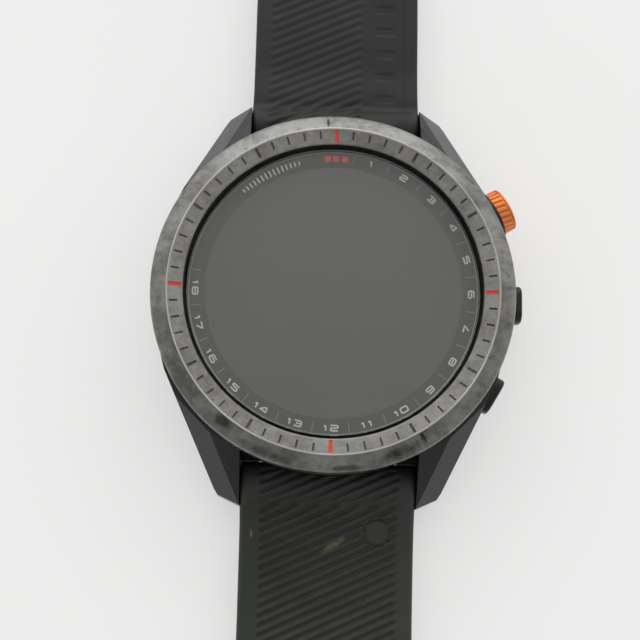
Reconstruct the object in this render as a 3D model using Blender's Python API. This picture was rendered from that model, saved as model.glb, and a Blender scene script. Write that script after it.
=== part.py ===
"""Golf GPS watch lying face up with its band open and straight.

Units are metres. The origin is the middle of the flat underside of the sensor window.
+Z leaves the dial, +Y points to 12 o'clock and +X to 3 o'clock.
"""

import math

import bmesh
import bpy
from mathutils import Matrix, Vector

MM = 0.001
GAP = 0.3

# Driving dimensions, in millimetres
BEZEL_RADIUS = 23.5
CREST_RADIUS = 21.4
TICK_INNER_RADIUS = 19.3
TICK_OUTER_RADIUS = 21.1
TICK_INNER_Z = 14.38
TICK_OUTER_Z = 14.72
TOP_Z = 14.8
LENS_RADIUS = 18.8
LENS_TOP_Z = 13.74
LENS_THICKNESS = 1.14
DISPLAY_RADIUS = 16.6
CASE_RADIUS = 23.3
CAVITY_RADIUS = 20.2
CASE_BOTTOM_Z = 2.6
CASE_TOP_Z = 11.1
LUG_GAP_HALF = 11.44
LUG_UNDERSIDE_Z = 2.2
LUG_ROOT_RADIUS = 22.4
LUG_ROOT_ANGLES = (17.0, 59.4)
LUG_TIP = (LUG_GAP_HALF, 27.1, 6.1)
LUG_OUTER_TIP = (14.35, 25.7, 4.5)
LUG_RIDGE_TOP = (15.1, 18.9, 10.85)
LUG_INNER_TOP = (LUG_GAP_HALF, 20.5, 11.0)
LUG_SIDE = ((14.85, 24.9), (21.45, 10.4), (22.3, 7.3))
RECESS_Y = 21.2
RECESS_TOP_Z = 8.2
RECESS_CORNER = ((9.0, 19.8), (12.0, 19.4), (12.0, 21.4), (9.0, 21.4))
RECESS_CORNER_Z = (3.5, 8.8)
BAR_Y = 24.4
BAR_Z = 4.3
BAR_RADIUS = 1.0
BUTTON_Z = 7.0
BUTTON_ANGLES = {"crown": 30.0, "middle": 0.0, "lower": -30.0}
BUTTON_INNER = 22.9
BUTTON_OUTER = 25.15
BUTTON_HALF_Z = 1.8
BUTTON_HALF_SIDE = 2.5
BUTTON_CORNER = 1.45
BUTTON_POCKET_RADIUS = 22.3
STEM_RADIUS = 1.0
STEM_INNER = 19.3
CROWN_OUTER = 26.7
CROWN_RADIUS = 2.95
CROWN_RIDGES = 24
CROWN_RIDGE_DEPTH = 0.2
CROWN_SLANT = 1.2
SCREW_ANGLES = (55.0, 125.0, 235.0, 305.0)
SCREW_CIRCLE = 17.9
STRAP_LUG_HALF = 11.15
STRAP_HALF = 11.3
STRAP_END_HALF = 10.0
BARREL_RADIUS = 2.8
UPPER_STRAP_Y = 94.0
LOWER_STRAP_Y = 146.0
KEEPER_LIFT = 1.5
STRAP_END_THICKNESS = 2.5
HOLE_FIRST_Y = 78.0
HOLE_PITCH = 6.0
HOLE_COUNT = 10
SLIDING_KEEPER_Y = 74.0
FIXED_KEEPER_Y = 84.0
KEEPER_WIDTH = 5.2
BUCKLE_BAR_Z = 2.75
BUCKLE_BORE_RADIUS = 1.0
BUCKLE_WINDOW_HALF = 10.6
BUCKLE_LOW_Z = 1.2
BUCKLE_HIGH_Z = 4.3
SENSOR_RADIUS = 8.0
PORT_Y = -14.6
PORT_PINS = (-2.1, -0.7, 0.7, 2.1)

RING_SEGMENTS = 60
SMALL_SEGMENTS = 16


# ---------------------------------------------------------------- helpers

def clear_scene():
    for item in list(bpy.data.objects):
        bpy.data.objects.remove(item, do_unlink=True)


def material(name, color, roughness, metallic):
    made = bpy.data.materials.get(name)
    if made:
        return made
    made = bpy.data.materials.new(name)
    made.use_nodes = True
    shader = made.node_tree.nodes["Principled BSDF"]
    shader.inputs["Base Color"].default_value = (*color, 1.0)
    shader.inputs["Roughness"].default_value = roughness
    shader.inputs["Metallic"].default_value = metallic
    return made


def finish(name, mesh_builder, look, smooth_angle=None):
    """Turn a bmesh drawn in millimetres into a named object with its material."""
    bmesh.ops.recalc_face_normals(mesh_builder, faces=mesh_builder.faces)
    mesh = bpy.data.meshes.new(name)
    mesh_builder.to_mesh(mesh)
    mesh_builder.free()
    mesh.transform(Matrix.Scale(MM, 4))
    item = bpy.data.objects.new(name, mesh)
    bpy.context.scene.collection.objects.link(item)
    if look:
        mesh.materials.append(look)
    if smooth_angle:
        mesh.shade_smooth()
        mesh.set_sharp_from_angle(angle=math.radians(smooth_angle))
    return item


def lathe(profile, segments, start=0.0, sweep=360.0):
    """Turn a closed (radius, z) profile about Z; a sweep under 360 gets flat ends."""
    made = bmesh.new()
    full = sweep >= 360.0
    count = segments if full else segments + 1
    rings = []
    for step in range(count):
        angle = math.radians(start + sweep * step / segments)
        ring = []
        for radius, height in profile:
            on_axis = radius < 1e-6
            if on_axis and step > 0:
                ring.append(rings[0][len(ring)])
                continue
            place = (radius * math.cos(angle), radius * math.sin(angle), height)
            ring.append(made.verts.new(place))
        rings.append(ring)
    size = len(profile)
    for step in range(segments):
        near = rings[step]
        far = rings[(step + 1) % count]
        for index in range(size):
            after = (index + 1) % size
            corners = [near[index], near[after], far[after], far[index]]
            unique = list(dict.fromkeys(corners))
            if len(unique) > 2:
                made.faces.new(unique)
    if not full:
        made.faces.new(rings[0])
        made.faces.new(rings[-1])
    return made


def prism(outline, low, high):
    """Extrude a closed XY outline from z = low to z = high."""
    made = bmesh.new()
    floor = [made.verts.new((x, y, low)) for x, y in outline]
    roof = [made.verts.new((x, y, high)) for x, y in outline]
    made.faces.new(floor)
    made.faces.new(roof)
    for index in range(len(outline)):
        after = (index + 1) % len(outline)
        made.faces.new((floor[index], floor[after], roof[after], roof[index]))
    return made


def block(low, high):
    outline = ((low[0], low[1]), (high[0], low[1]), (high[0], high[1]), (low[0], high[1]))
    return prism(outline, low[2], high[2])


def rounded_outline(half_x, half_y, radius, center=(0.0, 0.0), corner_steps=4):
    outline = []
    for corner, (sign_x, sign_y) in enumerate(((1, 1), (-1, 1), (-1, -1), (1, -1))):
        for step in range(corner_steps + 1):
            angle = math.radians(90.0 * corner + 90.0 * step / corner_steps)
            x = center[0] + sign_x * (half_x - radius) + radius * math.cos(angle)
            y = center[1] + sign_y * (half_y - radius) + radius * math.sin(angle)
            outline.append((x, y))
    return outline


def side_prism(outline, low, high):
    """Extrude a closed (y, z) outline along X from x = low to x = high."""
    made = prism(outline, low, high)
    turn = Matrix(((0, 0, 1, 0), (1, 0, 0, 0), (0, 1, 0, 0), (0, 0, 0, 1)))
    bmesh.ops.transform(made, matrix=turn, verts=made.verts)
    return made


def circle(radius, segments, center=(0.0, 0.0)):
    outline = []
    for step in range(segments):
        angle = 2.0 * math.pi * (step + 0.5) / segments
        outline.append((center[0] + radius * math.cos(angle), center[1] + radius * math.sin(angle)))
    return outline


def mirror_y(made):
    bmesh.ops.transform(made, matrix=Matrix.Scale(-1.0, 4, (0, 1, 0)), verts=made.verts)
    return made


def radial(made, angle, height=BUTTON_Z):
    """Move a bmesh whose own axis is Z so that the axis points outward at this angle."""
    tip = Matrix(((0, 0, 1, 0), (0, 1, 0, 0), (-1, 0, 0, 0), (0, 0, 0, 1)))
    turn = Matrix.Rotation(math.radians(angle), 4, "Z")
    place = Matrix.Translation((0.0, 0.0, height)) @ turn @ tip
    bmesh.ops.transform(made, matrix=place, verts=made.verts)
    return made


def combine(target, tools, operation):
    """Join or cut a target with bmesh solids, and bake the result into its mesh."""
    for count, tool in enumerate(tools):
        cutter = finish(f"{target.name}_tool_{count}", tool, None)
        cutter.hide_render = True
        cutter.display_type = "WIRE"
        step = target.modifiers.new("shape", "BOOLEAN")
        step.operation = operation
        step.solver = "EXACT"
        step.object = cutter
        graph = bpy.context.evaluated_depsgraph_get()
        baked = bpy.data.meshes.new_from_object(target.evaluated_get(graph))
        target.modifiers.remove(step)
        target.data = baked
        bpy.data.objects.remove(cutter, do_unlink=True)
    return target


def cut(target, *tools):
    return combine(target, tools, "DIFFERENCE")


def join(target, *tools):
    return combine(target, tools, "UNION")


def resmooth(item, angle=30.0):
    item.data.shade_smooth()
    item.data.set_sharp_from_angle(angle=math.radians(angle))
    return item


def set_origin(item, point):
    """Give an object its origin at a point in millimetres without moving its shape."""
    place = Vector(point) * MM
    item.data.transform(Matrix.Translation(-place))
    item.location = place
    return item


# ---------------------------------------------------------------- materials

def case_polymer():
    return material("case_polymer", (0.045, 0.046, 0.048), 0.42, 0.3)


def bezel_metal():
    return material("bezel_metal", (0.24, 0.24, 0.235), 0.35, 0.9)


def cover_glass():
    return material("cover_glass", (0.11, 0.11, 0.105), 0.08, 0.0)


def display_face():
    return material("display_face", (0.135, 0.14, 0.125), 0.3, 0.0)


def silicone():
    return material("silicone", (0.038, 0.04, 0.042), 0.6, 0.0)


def seal_rubber():
    return material("seal_rubber", (0.02, 0.02, 0.02), 0.7, 0.0)


def orange_anodised():
    return material("orange_anodised", (0.75, 0.19, 0.035), 0.35, 0.8)


def black_metal():
    return material("black_metal", (0.03, 0.03, 0.032), 0.35, 0.8)


def black_polymer():
    return material("black_polymer", (0.02, 0.02, 0.022), 0.45, 0.0)


def steel():
    return material("steel", (0.55, 0.55, 0.56), 0.3, 1.0)


def dark_steel():
    return material("dark_steel", (0.12, 0.12, 0.125), 0.35, 1.0)


def gold_contact():
    return material("gold_contact", (0.8, 0.58, 0.22), 0.25, 1.0)


def board_green():
    return material("board_green", (0.02, 0.12, 0.06), 0.5, 0.0)


def battery_foil():
    return material("battery_foil", (0.3, 0.31, 0.33), 0.4, 0.6)


def amber_film():
    return material("amber_film", (0.5, 0.22, 0.03), 0.4, 0.0)


def sensor_glass():
    return material("sensor_glass", (0.015, 0.015, 0.017), 0.1, 0.0)


# ---------------------------------------------------------------- case

def trim(made, point, normal):
    """Cut away what lies beyond a plane and close the cut."""
    parts = made.verts[:] + made.edges[:] + made.faces[:]
    split = bmesh.ops.bisect_plane(made, geom=parts, plane_co=point, plane_no=normal, clear_outer=True)
    rim = [part for part in split["geom_cut"] if isinstance(part, bmesh.types.BMEdge)]
    bmesh.ops.holes_fill(made, edges=rim)


def lug_solid(side_x, side_y):
    """One lug: a tapering prism whose top is cut by an inner and an outer slope."""
    outline = [LUG_TIP[:2], LUG_OUTER_TIP[:2], *LUG_SIDE]
    root_start, root_end = LUG_ROOT_ANGLES
    for step in range(6):
        turn = math.radians(root_start + (root_end - root_start) * step / 5)
        outline.append((LUG_ROOT_RADIUS * math.cos(turn), LUG_ROOT_RADIUS * math.sin(turn)))
    made = prism(outline, LUG_UNDERSIDE_Z, CASE_TOP_Z)
    ridge, tip, inner_top, outer_tip = map(Vector, (LUG_RIDGE_TOP, LUG_TIP, LUG_INNER_TOP, LUG_OUTER_TIP))
    inner_slope = (inner_top - ridge).cross(tip - ridge)
    outer_slope = (tip - ridge).cross(outer_tip - ridge)
    for slope in (inner_slope, outer_slope):
        trim(made, ridge, slope if slope.z > 0.0 else -slope)
    undercut = Vector((tip.x, tip.y, 3.0))
    trim(made, undercut, Vector((0.0, 0.42, -0.907)))
    flip = Matrix.Diagonal((side_x, side_y, 1.0, 1.0))
    bmesh.ops.transform(made, matrix=flip, verts=made.verts)
    return made


def boss_circle(angle, radius):
    turn = math.radians(angle)
    center = (SCREW_CIRCLE * math.cos(turn), SCREW_CIRCLE * math.sin(turn))
    return circle(radius, 14, center)


def recess_corners():
    """Fill the four corners where the round wall falls away behind the ends of the band."""
    low, high = RECESS_CORNER_Z
    corners = []
    for side_x in (1, -1):
        for side_y in (1, -1):
            outline = [(side_x * x, side_y * y) for x, y in RECESS_CORNER]
            corners.append(prism(outline, low, high))
    return corners


def make_mid_case():
    profile = [(19.2, CASE_BOTTOM_Z), (19.8, CASE_BOTTOM_Z), (19.8, 3.3), (20.8, 3.3), (20.8, CASE_BOTTOM_Z),
               (21.5, CASE_BOTTOM_Z), (22.8, 3.3), (CASE_RADIUS, 4.8), (CASE_RADIUS, CASE_TOP_Z),
               (22.2, CASE_TOP_Z), (22.2, 10.5), (21.0, 10.5), (21.0, CASE_TOP_Z),
               (CAVITY_RADIUS, CASE_TOP_Z), (CAVITY_RADIUS, 3.9), (19.2, 3.9)]
    case = finish("mid_case", lathe(profile, RING_SEGMENTS), case_polymer())
    lugs = [lug_solid(side_x, side_y) for side_x in (1, -1) for side_y in (1, -1)]
    bosses = [prism(boss_circle(angle, 2.4), 3.45, 7.6) for angle in SCREW_ANGLES]
    join(case, *lugs, *recess_corners(), *bosses)
    cuts = []
    for side in (1, -1):
        recess = block((-LUG_GAP_HALF, RECESS_Y, 0.0), (LUG_GAP_HALF, 30.0, RECESS_TOP_Z))
        bore = side_prism(circle(BAR_RADIUS + GAP, SMALL_SEGMENTS, (BAR_Y, BAR_Z)), -13.3, 13.3)
        cuts.append(recess if side > 0 else mirror_y(recess))
        cuts.append(bore if side > 0 else mirror_y(bore))
    for angle in SCREW_ANGLES:
        cuts.append(prism(boss_circle(angle, 0.75), 2.9, 6.6))
    crown = BUTTON_ANGLES["crown"]
    cuts.append(radial(prism(circle(CROWN_RADIUS + 1.5 * GAP, 28), BUTTON_POCKET_RADIUS, 27.0), crown))
    for name in ("middle", "lower"):
        outline = rounded_outline(BUTTON_HALF_Z + GAP, BUTTON_HALF_SIDE + GAP, BUTTON_CORNER + GAP)
        cuts.append(radial(prism(outline, BUTTON_POCKET_RADIUS, 26.0), BUTTON_ANGLES[name]))
    for angle in BUTTON_ANGLES.values():
        cuts.append(radial(prism(circle(2.6, SMALL_SEGMENTS), 18.0, 24.0), angle))
    cut(case, *cuts)
    return resmooth(case)


def make_bezel():
    profile = [(19.3, 9.9), (19.9, 9.9), (19.9, 11.4), (23.2, 11.4), (BEZEL_RADIUS, 11.7),
               (BEZEL_RADIUS, 13.4), (23.25, 13.75), (CREST_RADIUS, TOP_Z), (TICK_OUTER_RADIUS, TICK_OUTER_Z),
               (TICK_INNER_RADIUS, TICK_INNER_Z), (19.15, 14.2), (19.1, 11.6), (17.3, 11.6),
               (17.3, 10.95), (19.3, 10.95)]
    return finish("bezel", lathe(profile, RING_SEGMENTS), bezel_metal(), 30)


def ring_solid(inner, outer, low, high, segments=RING_SEGMENTS):
    return lathe([(inner, low), (outer, low), (outer, high), (inner, high)], segments)


def ring(name, inner, outer, low, high, look):
    return finish(name, ring_solid(inner, outer, low, high, 48), look, 30)


def make_lens():
    bottom = LENS_TOP_Z - LENS_THICKNESS
    profile = [(0.0, bottom), (LENS_RADIUS, bottom), (LENS_RADIUS, LENS_TOP_Z - 0.3),
               (LENS_RADIUS - 0.3, LENS_TOP_Z), (0.0, LENS_TOP_Z)]
    return finish("lens", lathe(profile, RING_SEGMENTS), cover_glass(), 30)


def disc(name, radius, low, high, look, segments=48):
    return finish(name, prism(circle(radius, segments), low, high), look, 30)


# ---------------------------------------------------------------- inside

def make_display_frame():
    profile = [(13.0, 9.7), (18.9, 9.7), (18.9, 10.6), (13.0, 10.6)]
    frame = finish("display_frame", lathe(profile, 48), black_polymer(), 30)
    return cut(frame, block((-3.6, -20.0, 9.0), (3.6, -12.0, 11.0)))


def make_display_flex():
    outline = [(-12.4, 10.45), (-16.0, 10.45), (-16.3, 10.2), (-16.3, 9.95), (-16.0, 9.7), (-12.4, 9.7),
               (-12.4, 9.85), (-15.9, 9.85), (-16.1, 10.0), (-16.1, 10.15), (-15.9, 10.3), (-12.4, 10.3)]
    return finish("display_flex", side_prism(outline, -3.0, 3.0), amber_film())


def make_main_board():
    board = finish("main_board", prism(circle(18.6, 48), 8.5, 9.3), board_green())
    return cut(board, block((-20.0, -2.0, 8.0), (-17.6, 2.0, 10.0)))


def make_shield_can():
    can = finish("shield_can", block((5.6, -6.5, 6.4), (15.0, 6.5, 8.2)), steel())
    return cut(can, block((5.9, -6.2, 6.7), (14.7, 6.2, 9.0)))


def make_battery():
    outline = rounded_outline(9.3, 8.8, 1.2, (-5.2, 0.0), 3)
    return finish("battery", prism(outline, 4.1, 8.1), battery_foil())


def make_vibration_motor():
    outline = circle(3.9, SMALL_SEGMENTS, (0.5, 13.2))
    return finish("vibration_motor", prism(outline, 4.1, 6.8), steel(), 30)


def make_gps_antenna():
    profile = [(18.8, 4.4), (19.8, 4.4), (19.8, 8.1), (18.8, 8.1)]
    return finish("gps_antenna", lathe(profile, 14, 150.0, 60.0), gold_contact(), 30)


def make_switch(name, angle):
    body = radial(prism(rounded_outline(1.3, 2.0, 0.2), 16.9, 18.3), angle)
    switch = finish(f"{name}_switch", body, steel())
    return join(switch, radial(prism(circle(0.8, 12), 18.2, 18.7), angle))


# ---------------------------------------------------------------- buttons

def make_bushing(name, angle):
    profile = [(1.3, 19.6), (2.3, 19.6), (2.3, 22.0), (1.95, 22.0), (1.95, 21.0), (1.3, 21.0)]
    return finish(f"{name}_bushing", radial(lathe(profile, SMALL_SEGMENTS), angle), dark_steel(), 30)


def make_button_seal(name, angle):
    profile = []
    for step in range(6):
        turn = math.radians(60.0 * step + 30.0)
        profile.append((1.5 + 0.24 * math.cos(turn), 21.6 + 0.24 * math.sin(turn)))
    return finish(f"{name}_seal", radial(lathe(profile, SMALL_SEGMENTS), angle), seal_rubber(), 40)


def button_axis_point(angle):
    turn = math.radians(angle)
    return (22.0 * math.cos(turn), 22.0 * math.sin(turn), BUTTON_Z)


def loft(rings_of_points):
    """Bridge closed rows of points with quads and close both ends."""
    made = bmesh.new()
    rings = [[made.verts.new(point) for point in row] for row in rings_of_points]
    for near, far in zip(rings, rings[1:]):
        for step in range(len(near)):
            after = (step + 1) % len(near)
            made.faces.new((near[step], near[after], far[after], far[step]))
    made.faces.new(rings[0])
    made.faces.new(rings[-1])
    return made


def crown_row(along, radius, depth, slant):
    """Points round the crown: a ridge and a valley by turns, moved on by a slant in ridges."""
    row = []
    for step in range(2 * CROWN_RIDGES):
        turn = 2.0 * math.pi * (step + 2.0 * slant) / (2 * CROWN_RIDGES)
        reach = radius - depth * (step % 2)
        row.append((reach * math.cos(turn), reach * math.sin(turn), along))
    return row


def make_crown_cap():
    """A knurled cap whose ridges slant as they run along it, hollow at its inner end."""
    angle = BUTTON_ANGLES["crown"]
    neck = CROWN_RADIUS - 0.17
    rows = [crown_row(BUTTON_INNER, CROWN_RADIUS - 0.25, 0.0, 0.0),
            crown_row(BUTTON_INNER + 0.3, CROWN_RADIUS, 0.0, 0.0),
            crown_row(BUTTON_INNER + 0.6, CROWN_RADIUS, CROWN_RIDGE_DEPTH, 0.0),
            crown_row(CROWN_OUTER - 0.65, CROWN_RADIUS, CROWN_RIDGE_DEPTH, CROWN_SLANT),
            crown_row(CROWN_OUTER - 0.5, neck, 0.0, CROWN_SLANT),
            crown_row(CROWN_OUTER - 0.35, neck, 0.0, CROWN_SLANT),
            crown_row(CROWN_OUTER - 0.25, CROWN_RADIUS - 0.05, 0.0, CROWN_SLANT),
            crown_row(CROWN_OUTER, CROWN_RADIUS - 0.25, 0.0, CROWN_SLANT)]
    cap = finish("crown_cap", radial(loft(rows), angle), orange_anodised())
    cut(cap, radial(prism(circle(STEM_RADIUS + GAP, SMALL_SEGMENTS), 22.0, 24.3), angle))
    return set_origin(cap, button_axis_point(angle))


def make_crown_stem():
    angle = BUTTON_ANGLES["crown"]
    shaft = prism(circle(STEM_RADIUS, SMALL_SEGMENTS), STEM_INNER, 24.0)
    stem = finish("crown_stem", radial(shaft, angle), steel(), 30)
    return set_origin(stem, button_axis_point(angle))


def make_side_button(name):
    """A rounded block with a softened outer edge, on a stem."""
    angle = BUTTON_ANGLES[name]
    rows = []
    for back, inset in ((BUTTON_OUTER - BUTTON_INNER, 0.0), (0.4, 0.0), (0.15, 0.15), (0.0, 0.45)):
        outline = rounded_outline(BUTTON_HALF_Z - inset, BUTTON_HALF_SIDE - inset, BUTTON_CORNER - inset)
        rows.append([(x, y, BUTTON_OUTER - back) for x, y in outline])
    button = finish(f"{name}_button", radial(loft(rows), angle), black_metal())
    join(button, radial(prism(circle(STEM_RADIUS, SMALL_SEGMENTS), STEM_INNER, BUTTON_INNER + GAP), angle))
    resmooth(button)
    return set_origin(button, button_axis_point(angle))


# ---------------------------------------------------------------- back

def make_back_cover():
    profile = [(SENSOR_RADIUS + GAP, 0.4), (9.8, 0.4), (12.5, 1.1), (20.2, 1.35), (20.9, 1.7), (20.9, 2.3),
               (9.6, 2.3), (9.6, 1.6), (SENSOR_RADIUS + GAP, 1.6)]
    cover = finish("back_cover", lathe(profile, RING_SEGMENTS), case_polymer())
    holes = []
    for angle in SCREW_ANGLES:
        holes.append(prism(boss_circle(angle, 0.95), 0.0, 4.0))
        holes.append(prism(boss_circle(angle, 1.7), 0.0, 1.9))
    port = rounded_outline(3.3, 1.6, 0.6, (0.0, PORT_Y), 3)
    holes.append(prism(port, 0.0, 4.0))
    return resmooth(cut(cover, *holes))


def make_screw(number, angle):
    turn = math.radians(angle)
    profile = [(0.0, 1.35), (0.4, 1.35), (0.4, 1.15), (1.3, 1.15), (1.4, 1.25), (1.4, 1.6), (0.6, 1.6),
               (0.6, 5.6), (0.0, 6.0)]
    made = lathe(profile, 14)
    place = (SCREW_CIRCLE * math.cos(turn), SCREW_CIRCLE * math.sin(turn), 0.0)
    bmesh.ops.transform(made, matrix=Matrix.Translation(place), verts=made.verts)
    return finish(f"back_screw_{number}", made, dark_steel(), 30)


def make_sensor_window():
    profile = [(0.0, 0.0), (SENSOR_RADIUS - 0.3, 0.0), (SENSOR_RADIUS, 0.3), (SENSOR_RADIUS, 1.9), (9.3, 1.9),
               (9.3, 2.6), (0.0, 2.6)]
    return finish("sensor_window", lathe(profile, 48), sensor_glass(), 30)


def make_port_insert():
    outline = rounded_outline(3.0, 1.3, 0.5, (0.0, PORT_Y), 3)
    insert = finish("port_insert", prism(outline, 1.7, 3.6), black_polymer())
    holes = [prism(circle(0.5, 12, (x, PORT_Y)), 1.0, 4.0) for x in PORT_PINS]
    return cut(insert, *holes)


def make_port_pin(number, x):
    outline = circle(0.25, 12, (x, PORT_Y))
    return finish(f"port_pin_{number}", prism(outline, 1.4, 3.8), gold_contact(), 30)


# ---------------------------------------------------------------- band

def blend(value, table):
    """Read a smooth curve through (position, value) knots."""
    for (low, start), (high, end) in zip(table, table[1:]):
        if value <= high:
            share = max(0.0, (value - low) / (high - low))
            share = share * share * (3.0 - 2.0 * share)
            return start + (end - start) * share
    return table[-1][1]


def half_width(y):
    return blend(y, ((27.0, STRAP_LUG_HALF), (30.0, STRAP_HALF), (45.5, STRAP_HALF), (60.0, STRAP_END_HALF)))


def upper_bottom(y):
    return blend(y, ((BAR_Y, 1.5), (27.5, 2.0), (56.0, KEEPER_LIFT)))


def lower_bottom(y):
    return blend(y, ((BAR_Y, 1.5), (27.5, 2.0), (60.0, 0.0)))


def thickness(y):
    return blend(y, ((BAR_Y, 5.6), (28.0, 3.7), (34.0, 3.1), (60.0, STRAP_END_THICKNESS)))


def strap_section(half, low, high):
    """Half-round top edges and small chamfers underneath."""
    return [(-half + 0.5, low), (half - 0.5, low), (half, low + 0.5), (half, high - 0.9),
            (half - 0.35, high - 0.35), (half - 1.1, high), (-half + 1.1, high),
            (-half + 0.35, high - 0.35), (-half, high - 0.9), (-half, low + 0.5)]


def strap_places(end_y, tip_round):
    """Distances along the strap and the half width at each; a rounded tip narrows at the end."""
    stations = [BAR_Y, 25.6, 27.0, 28.5, 30.0, 34.0, 39.0, 45.5, 49.0, 52.8, 56.5, 60.0, end_y - tip_round]
    places = [(y, half_width(y)) for y in stations]
    if tip_round:
        for step in range(1, 7):
            turn = math.radians(75.0 * step / 6)
            y = end_y - tip_round + tip_round * math.sin(turn) / math.sin(math.radians(75.0))
            places.append((y, half_width(y) - tip_round * (1.0 - math.cos(turn))))
    return places


def strap_body(bottom, end_y, tip_round):
    rows = []
    for y, half in strap_places(end_y, tip_round):
        low = bottom(y)
        rows.append([(x, y, z) for x, z in strap_section(half, low, low + thickness(y))])
    made = loft(rows)
    bmesh.ops.recalc_face_normals(made, faces=made.faces)
    return made


def strap_barrel():
    return side_prism(circle(BARREL_RADIUS, 24, (BAR_Y, BAR_Z)), -10.95, 10.95)


def latch_pocket():
    """Room for the quick-release housing, the slider under it and the slider's travel."""
    return [side_prism(circle(2.3, 24, (BAR_Y, BAR_Z)), -6.0, 6.0),
            block((-6.0, BAR_Y, 0.5), (6.0, 31.8, 4.7)),
            block((-6.0, 21.0, 0.5), (6.0, 34.9, 2.9)),
            block((-6.0, 21.0, 0.5), (6.0, BAR_Y, BAR_Z))]


def bar_bore():
    return side_prism(circle(BAR_RADIUS + GAP, SMALL_SEGMENTS, (BAR_Y, BAR_Z)), -12.0, 12.0)


def buckle_bore_outline():
    return circle(BUCKLE_BORE_RADIUS, SMALL_SEGMENTS, (UPPER_STRAP_Y, BUCKLE_BAR_Z))


def make_upper_strap():
    strap = finish("upper_strap", strap_body(upper_bottom, UPPER_STRAP_Y, 0.0), silicone())
    end_barrel = side_prism(circle(1.9, 20, (UPPER_STRAP_Y, BUCKLE_BAR_Z)), -STRAP_END_HALF, STRAP_END_HALF)
    join(strap, strap_barrel(), end_barrel)
    buckle_bore = side_prism(buckle_bore_outline(), -12.0, 12.0)
    tongue_slot = block((-1.7, 90.0, -1.0), (1.7, 100.0, 8.0))
    cut(strap, *latch_pocket(), bar_bore(), buckle_bore, tongue_slot)
    return set_origin(resmooth(strap), (0.0, BAR_Y, BAR_Z))


def make_lower_strap():
    strap = finish("lower_strap", mirror_y(strap_body(lower_bottom, LOWER_STRAP_Y, 8.0)), silicone())
    join(strap, mirror_y(strap_barrel()))
    cuts = [mirror_y(tool) for tool in latch_pocket()] + [mirror_y(bar_bore())]
    for number in range(HOLE_COUNT):
        center = (0.0, -(HOLE_FIRST_Y + HOLE_PITCH * number))
        cuts.append(prism(rounded_outline(2.0, 1.3, 1.0, center, 2), -1.0, 5.0))
    cut(strap, *cuts)
    return set_origin(resmooth(strap), (0.0, -BAR_Y, BAR_Z))


def make_lug_bar(side, name):
    outline = circle(BAR_RADIUS, SMALL_SEGMENTS, (BAR_Y * side, BAR_Z))
    return finish(f"{name}_lug_bar", side_prism(outline, -13.0, 13.0), steel(), 30)


def make_latch_housing(side, name):
    """A hook that drops over the lug bar: its mouth is underneath."""
    flip = (lambda made: made) if side > 0 else mirror_y
    shell = flip(side_prism(circle(2.0, 24, (BAR_Y, BAR_Z)), -5.7, 5.7))
    housing = finish(f"{name}_latch_housing", shell, dark_steel())
    join(housing, flip(block((-5.7, BAR_Y, 3.1), (5.7, 31.5, 4.4))))
    bore = flip(side_prism(circle(BAR_RADIUS + GAP, SMALL_SEGMENTS, (BAR_Y, BAR_Z)), -7.0, 7.0))
    mouth = flip(block((-7.0, BAR_Y - 1.3, 0.0), (7.0, BAR_Y + 1.3, BAR_Z)))
    floor = flip(block((-7.0, 20.0, 0.0), (7.0, 35.0, 3.1)))
    cut(housing, bore, mouth, floor)
    return set_origin(resmooth(housing), (0.0, BAR_Y * side, BAR_Z))


def make_latch(side, name):
    """A sliding plate whose nose closes the hook's mouth, with a ridged thumb pad."""
    flip = (lambda made: made) if side > 0 else mirror_y
    latch = finish(f"{name}_latch", flip(block((-4.6, 22.8, 2.1), (4.6, 31.2, 2.6))), dark_steel())
    join(latch, flip(block((-3.6, 27.6, 1.75), (3.6, 31.2, 2.2))))
    for step in range(4):
        start = 28.1 + 0.8 * step
        cut(latch, flip(block((-4.0, start, 1.0), (4.0, start + 0.4, 1.95))))
    return set_origin(latch, (0.0, 27.0 * side, 2.35))


def make_keeper(name, y):
    outer = rounded_outline(STRAP_END_HALF + 1.7, 4.45, 1.6, (0.0, 4.45), 4)
    inner = rounded_outline(STRAP_END_HALF + 0.45, 3.3, 0.6, (0.0, 4.5), 3)
    made = prism(outer, y - KEEPER_WIDTH / 2, y + KEEPER_WIDTH / 2)
    tool = prism(inner, y - 4.0, y + 4.0)
    turn = Matrix(((1, 0, 0, 0), (0, 0, 1, 0), (0, 1, 0, 0), (0, 0, 0, 1)))
    bmesh.ops.transform(made, matrix=turn, verts=made.verts)
    bmesh.ops.transform(tool, matrix=turn, verts=tool.verts)
    bmesh.ops.recalc_face_normals(tool, faces=tool.faces)
    keeper = cut(finish(name, made, silicone()), tool)
    return set_origin(resmooth(keeper), (0.0, y, 0.0))


def make_buckle_frame():
    outer = rounded_outline(13.2, 7.6, 2.2, (0.0, 99.2), 4)
    frame = finish("buckle_frame", prism(outer, BUCKLE_LOW_Z, BUCKLE_HIGH_Z), dark_steel())
    window = block((-BUCKLE_WINDOW_HALF, 80.0, 0.0), (BUCKLE_WINDOW_HALF, 103.9, 6.0))
    seat = block((-BUCKLE_WINDOW_HALF, 100.0, 3.2), (BUCKLE_WINDOW_HALF, 110.0, 6.0))
    cut(frame, window, seat, side_prism(buckle_bore_outline(), -12.4, 12.4))
    return set_origin(resmooth(frame), (0.0, UPPER_STRAP_Y, BUCKLE_BAR_Z))


def make_buckle_bar():
    outline = circle(0.7, 16, (UPPER_STRAP_Y, BUCKLE_BAR_Z))
    bar = finish("buckle_bar", side_prism(outline, -12.1, 12.1), steel(), 30)
    return set_origin(bar, (0.0, UPPER_STRAP_Y, BUCKLE_BAR_Z))


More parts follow.
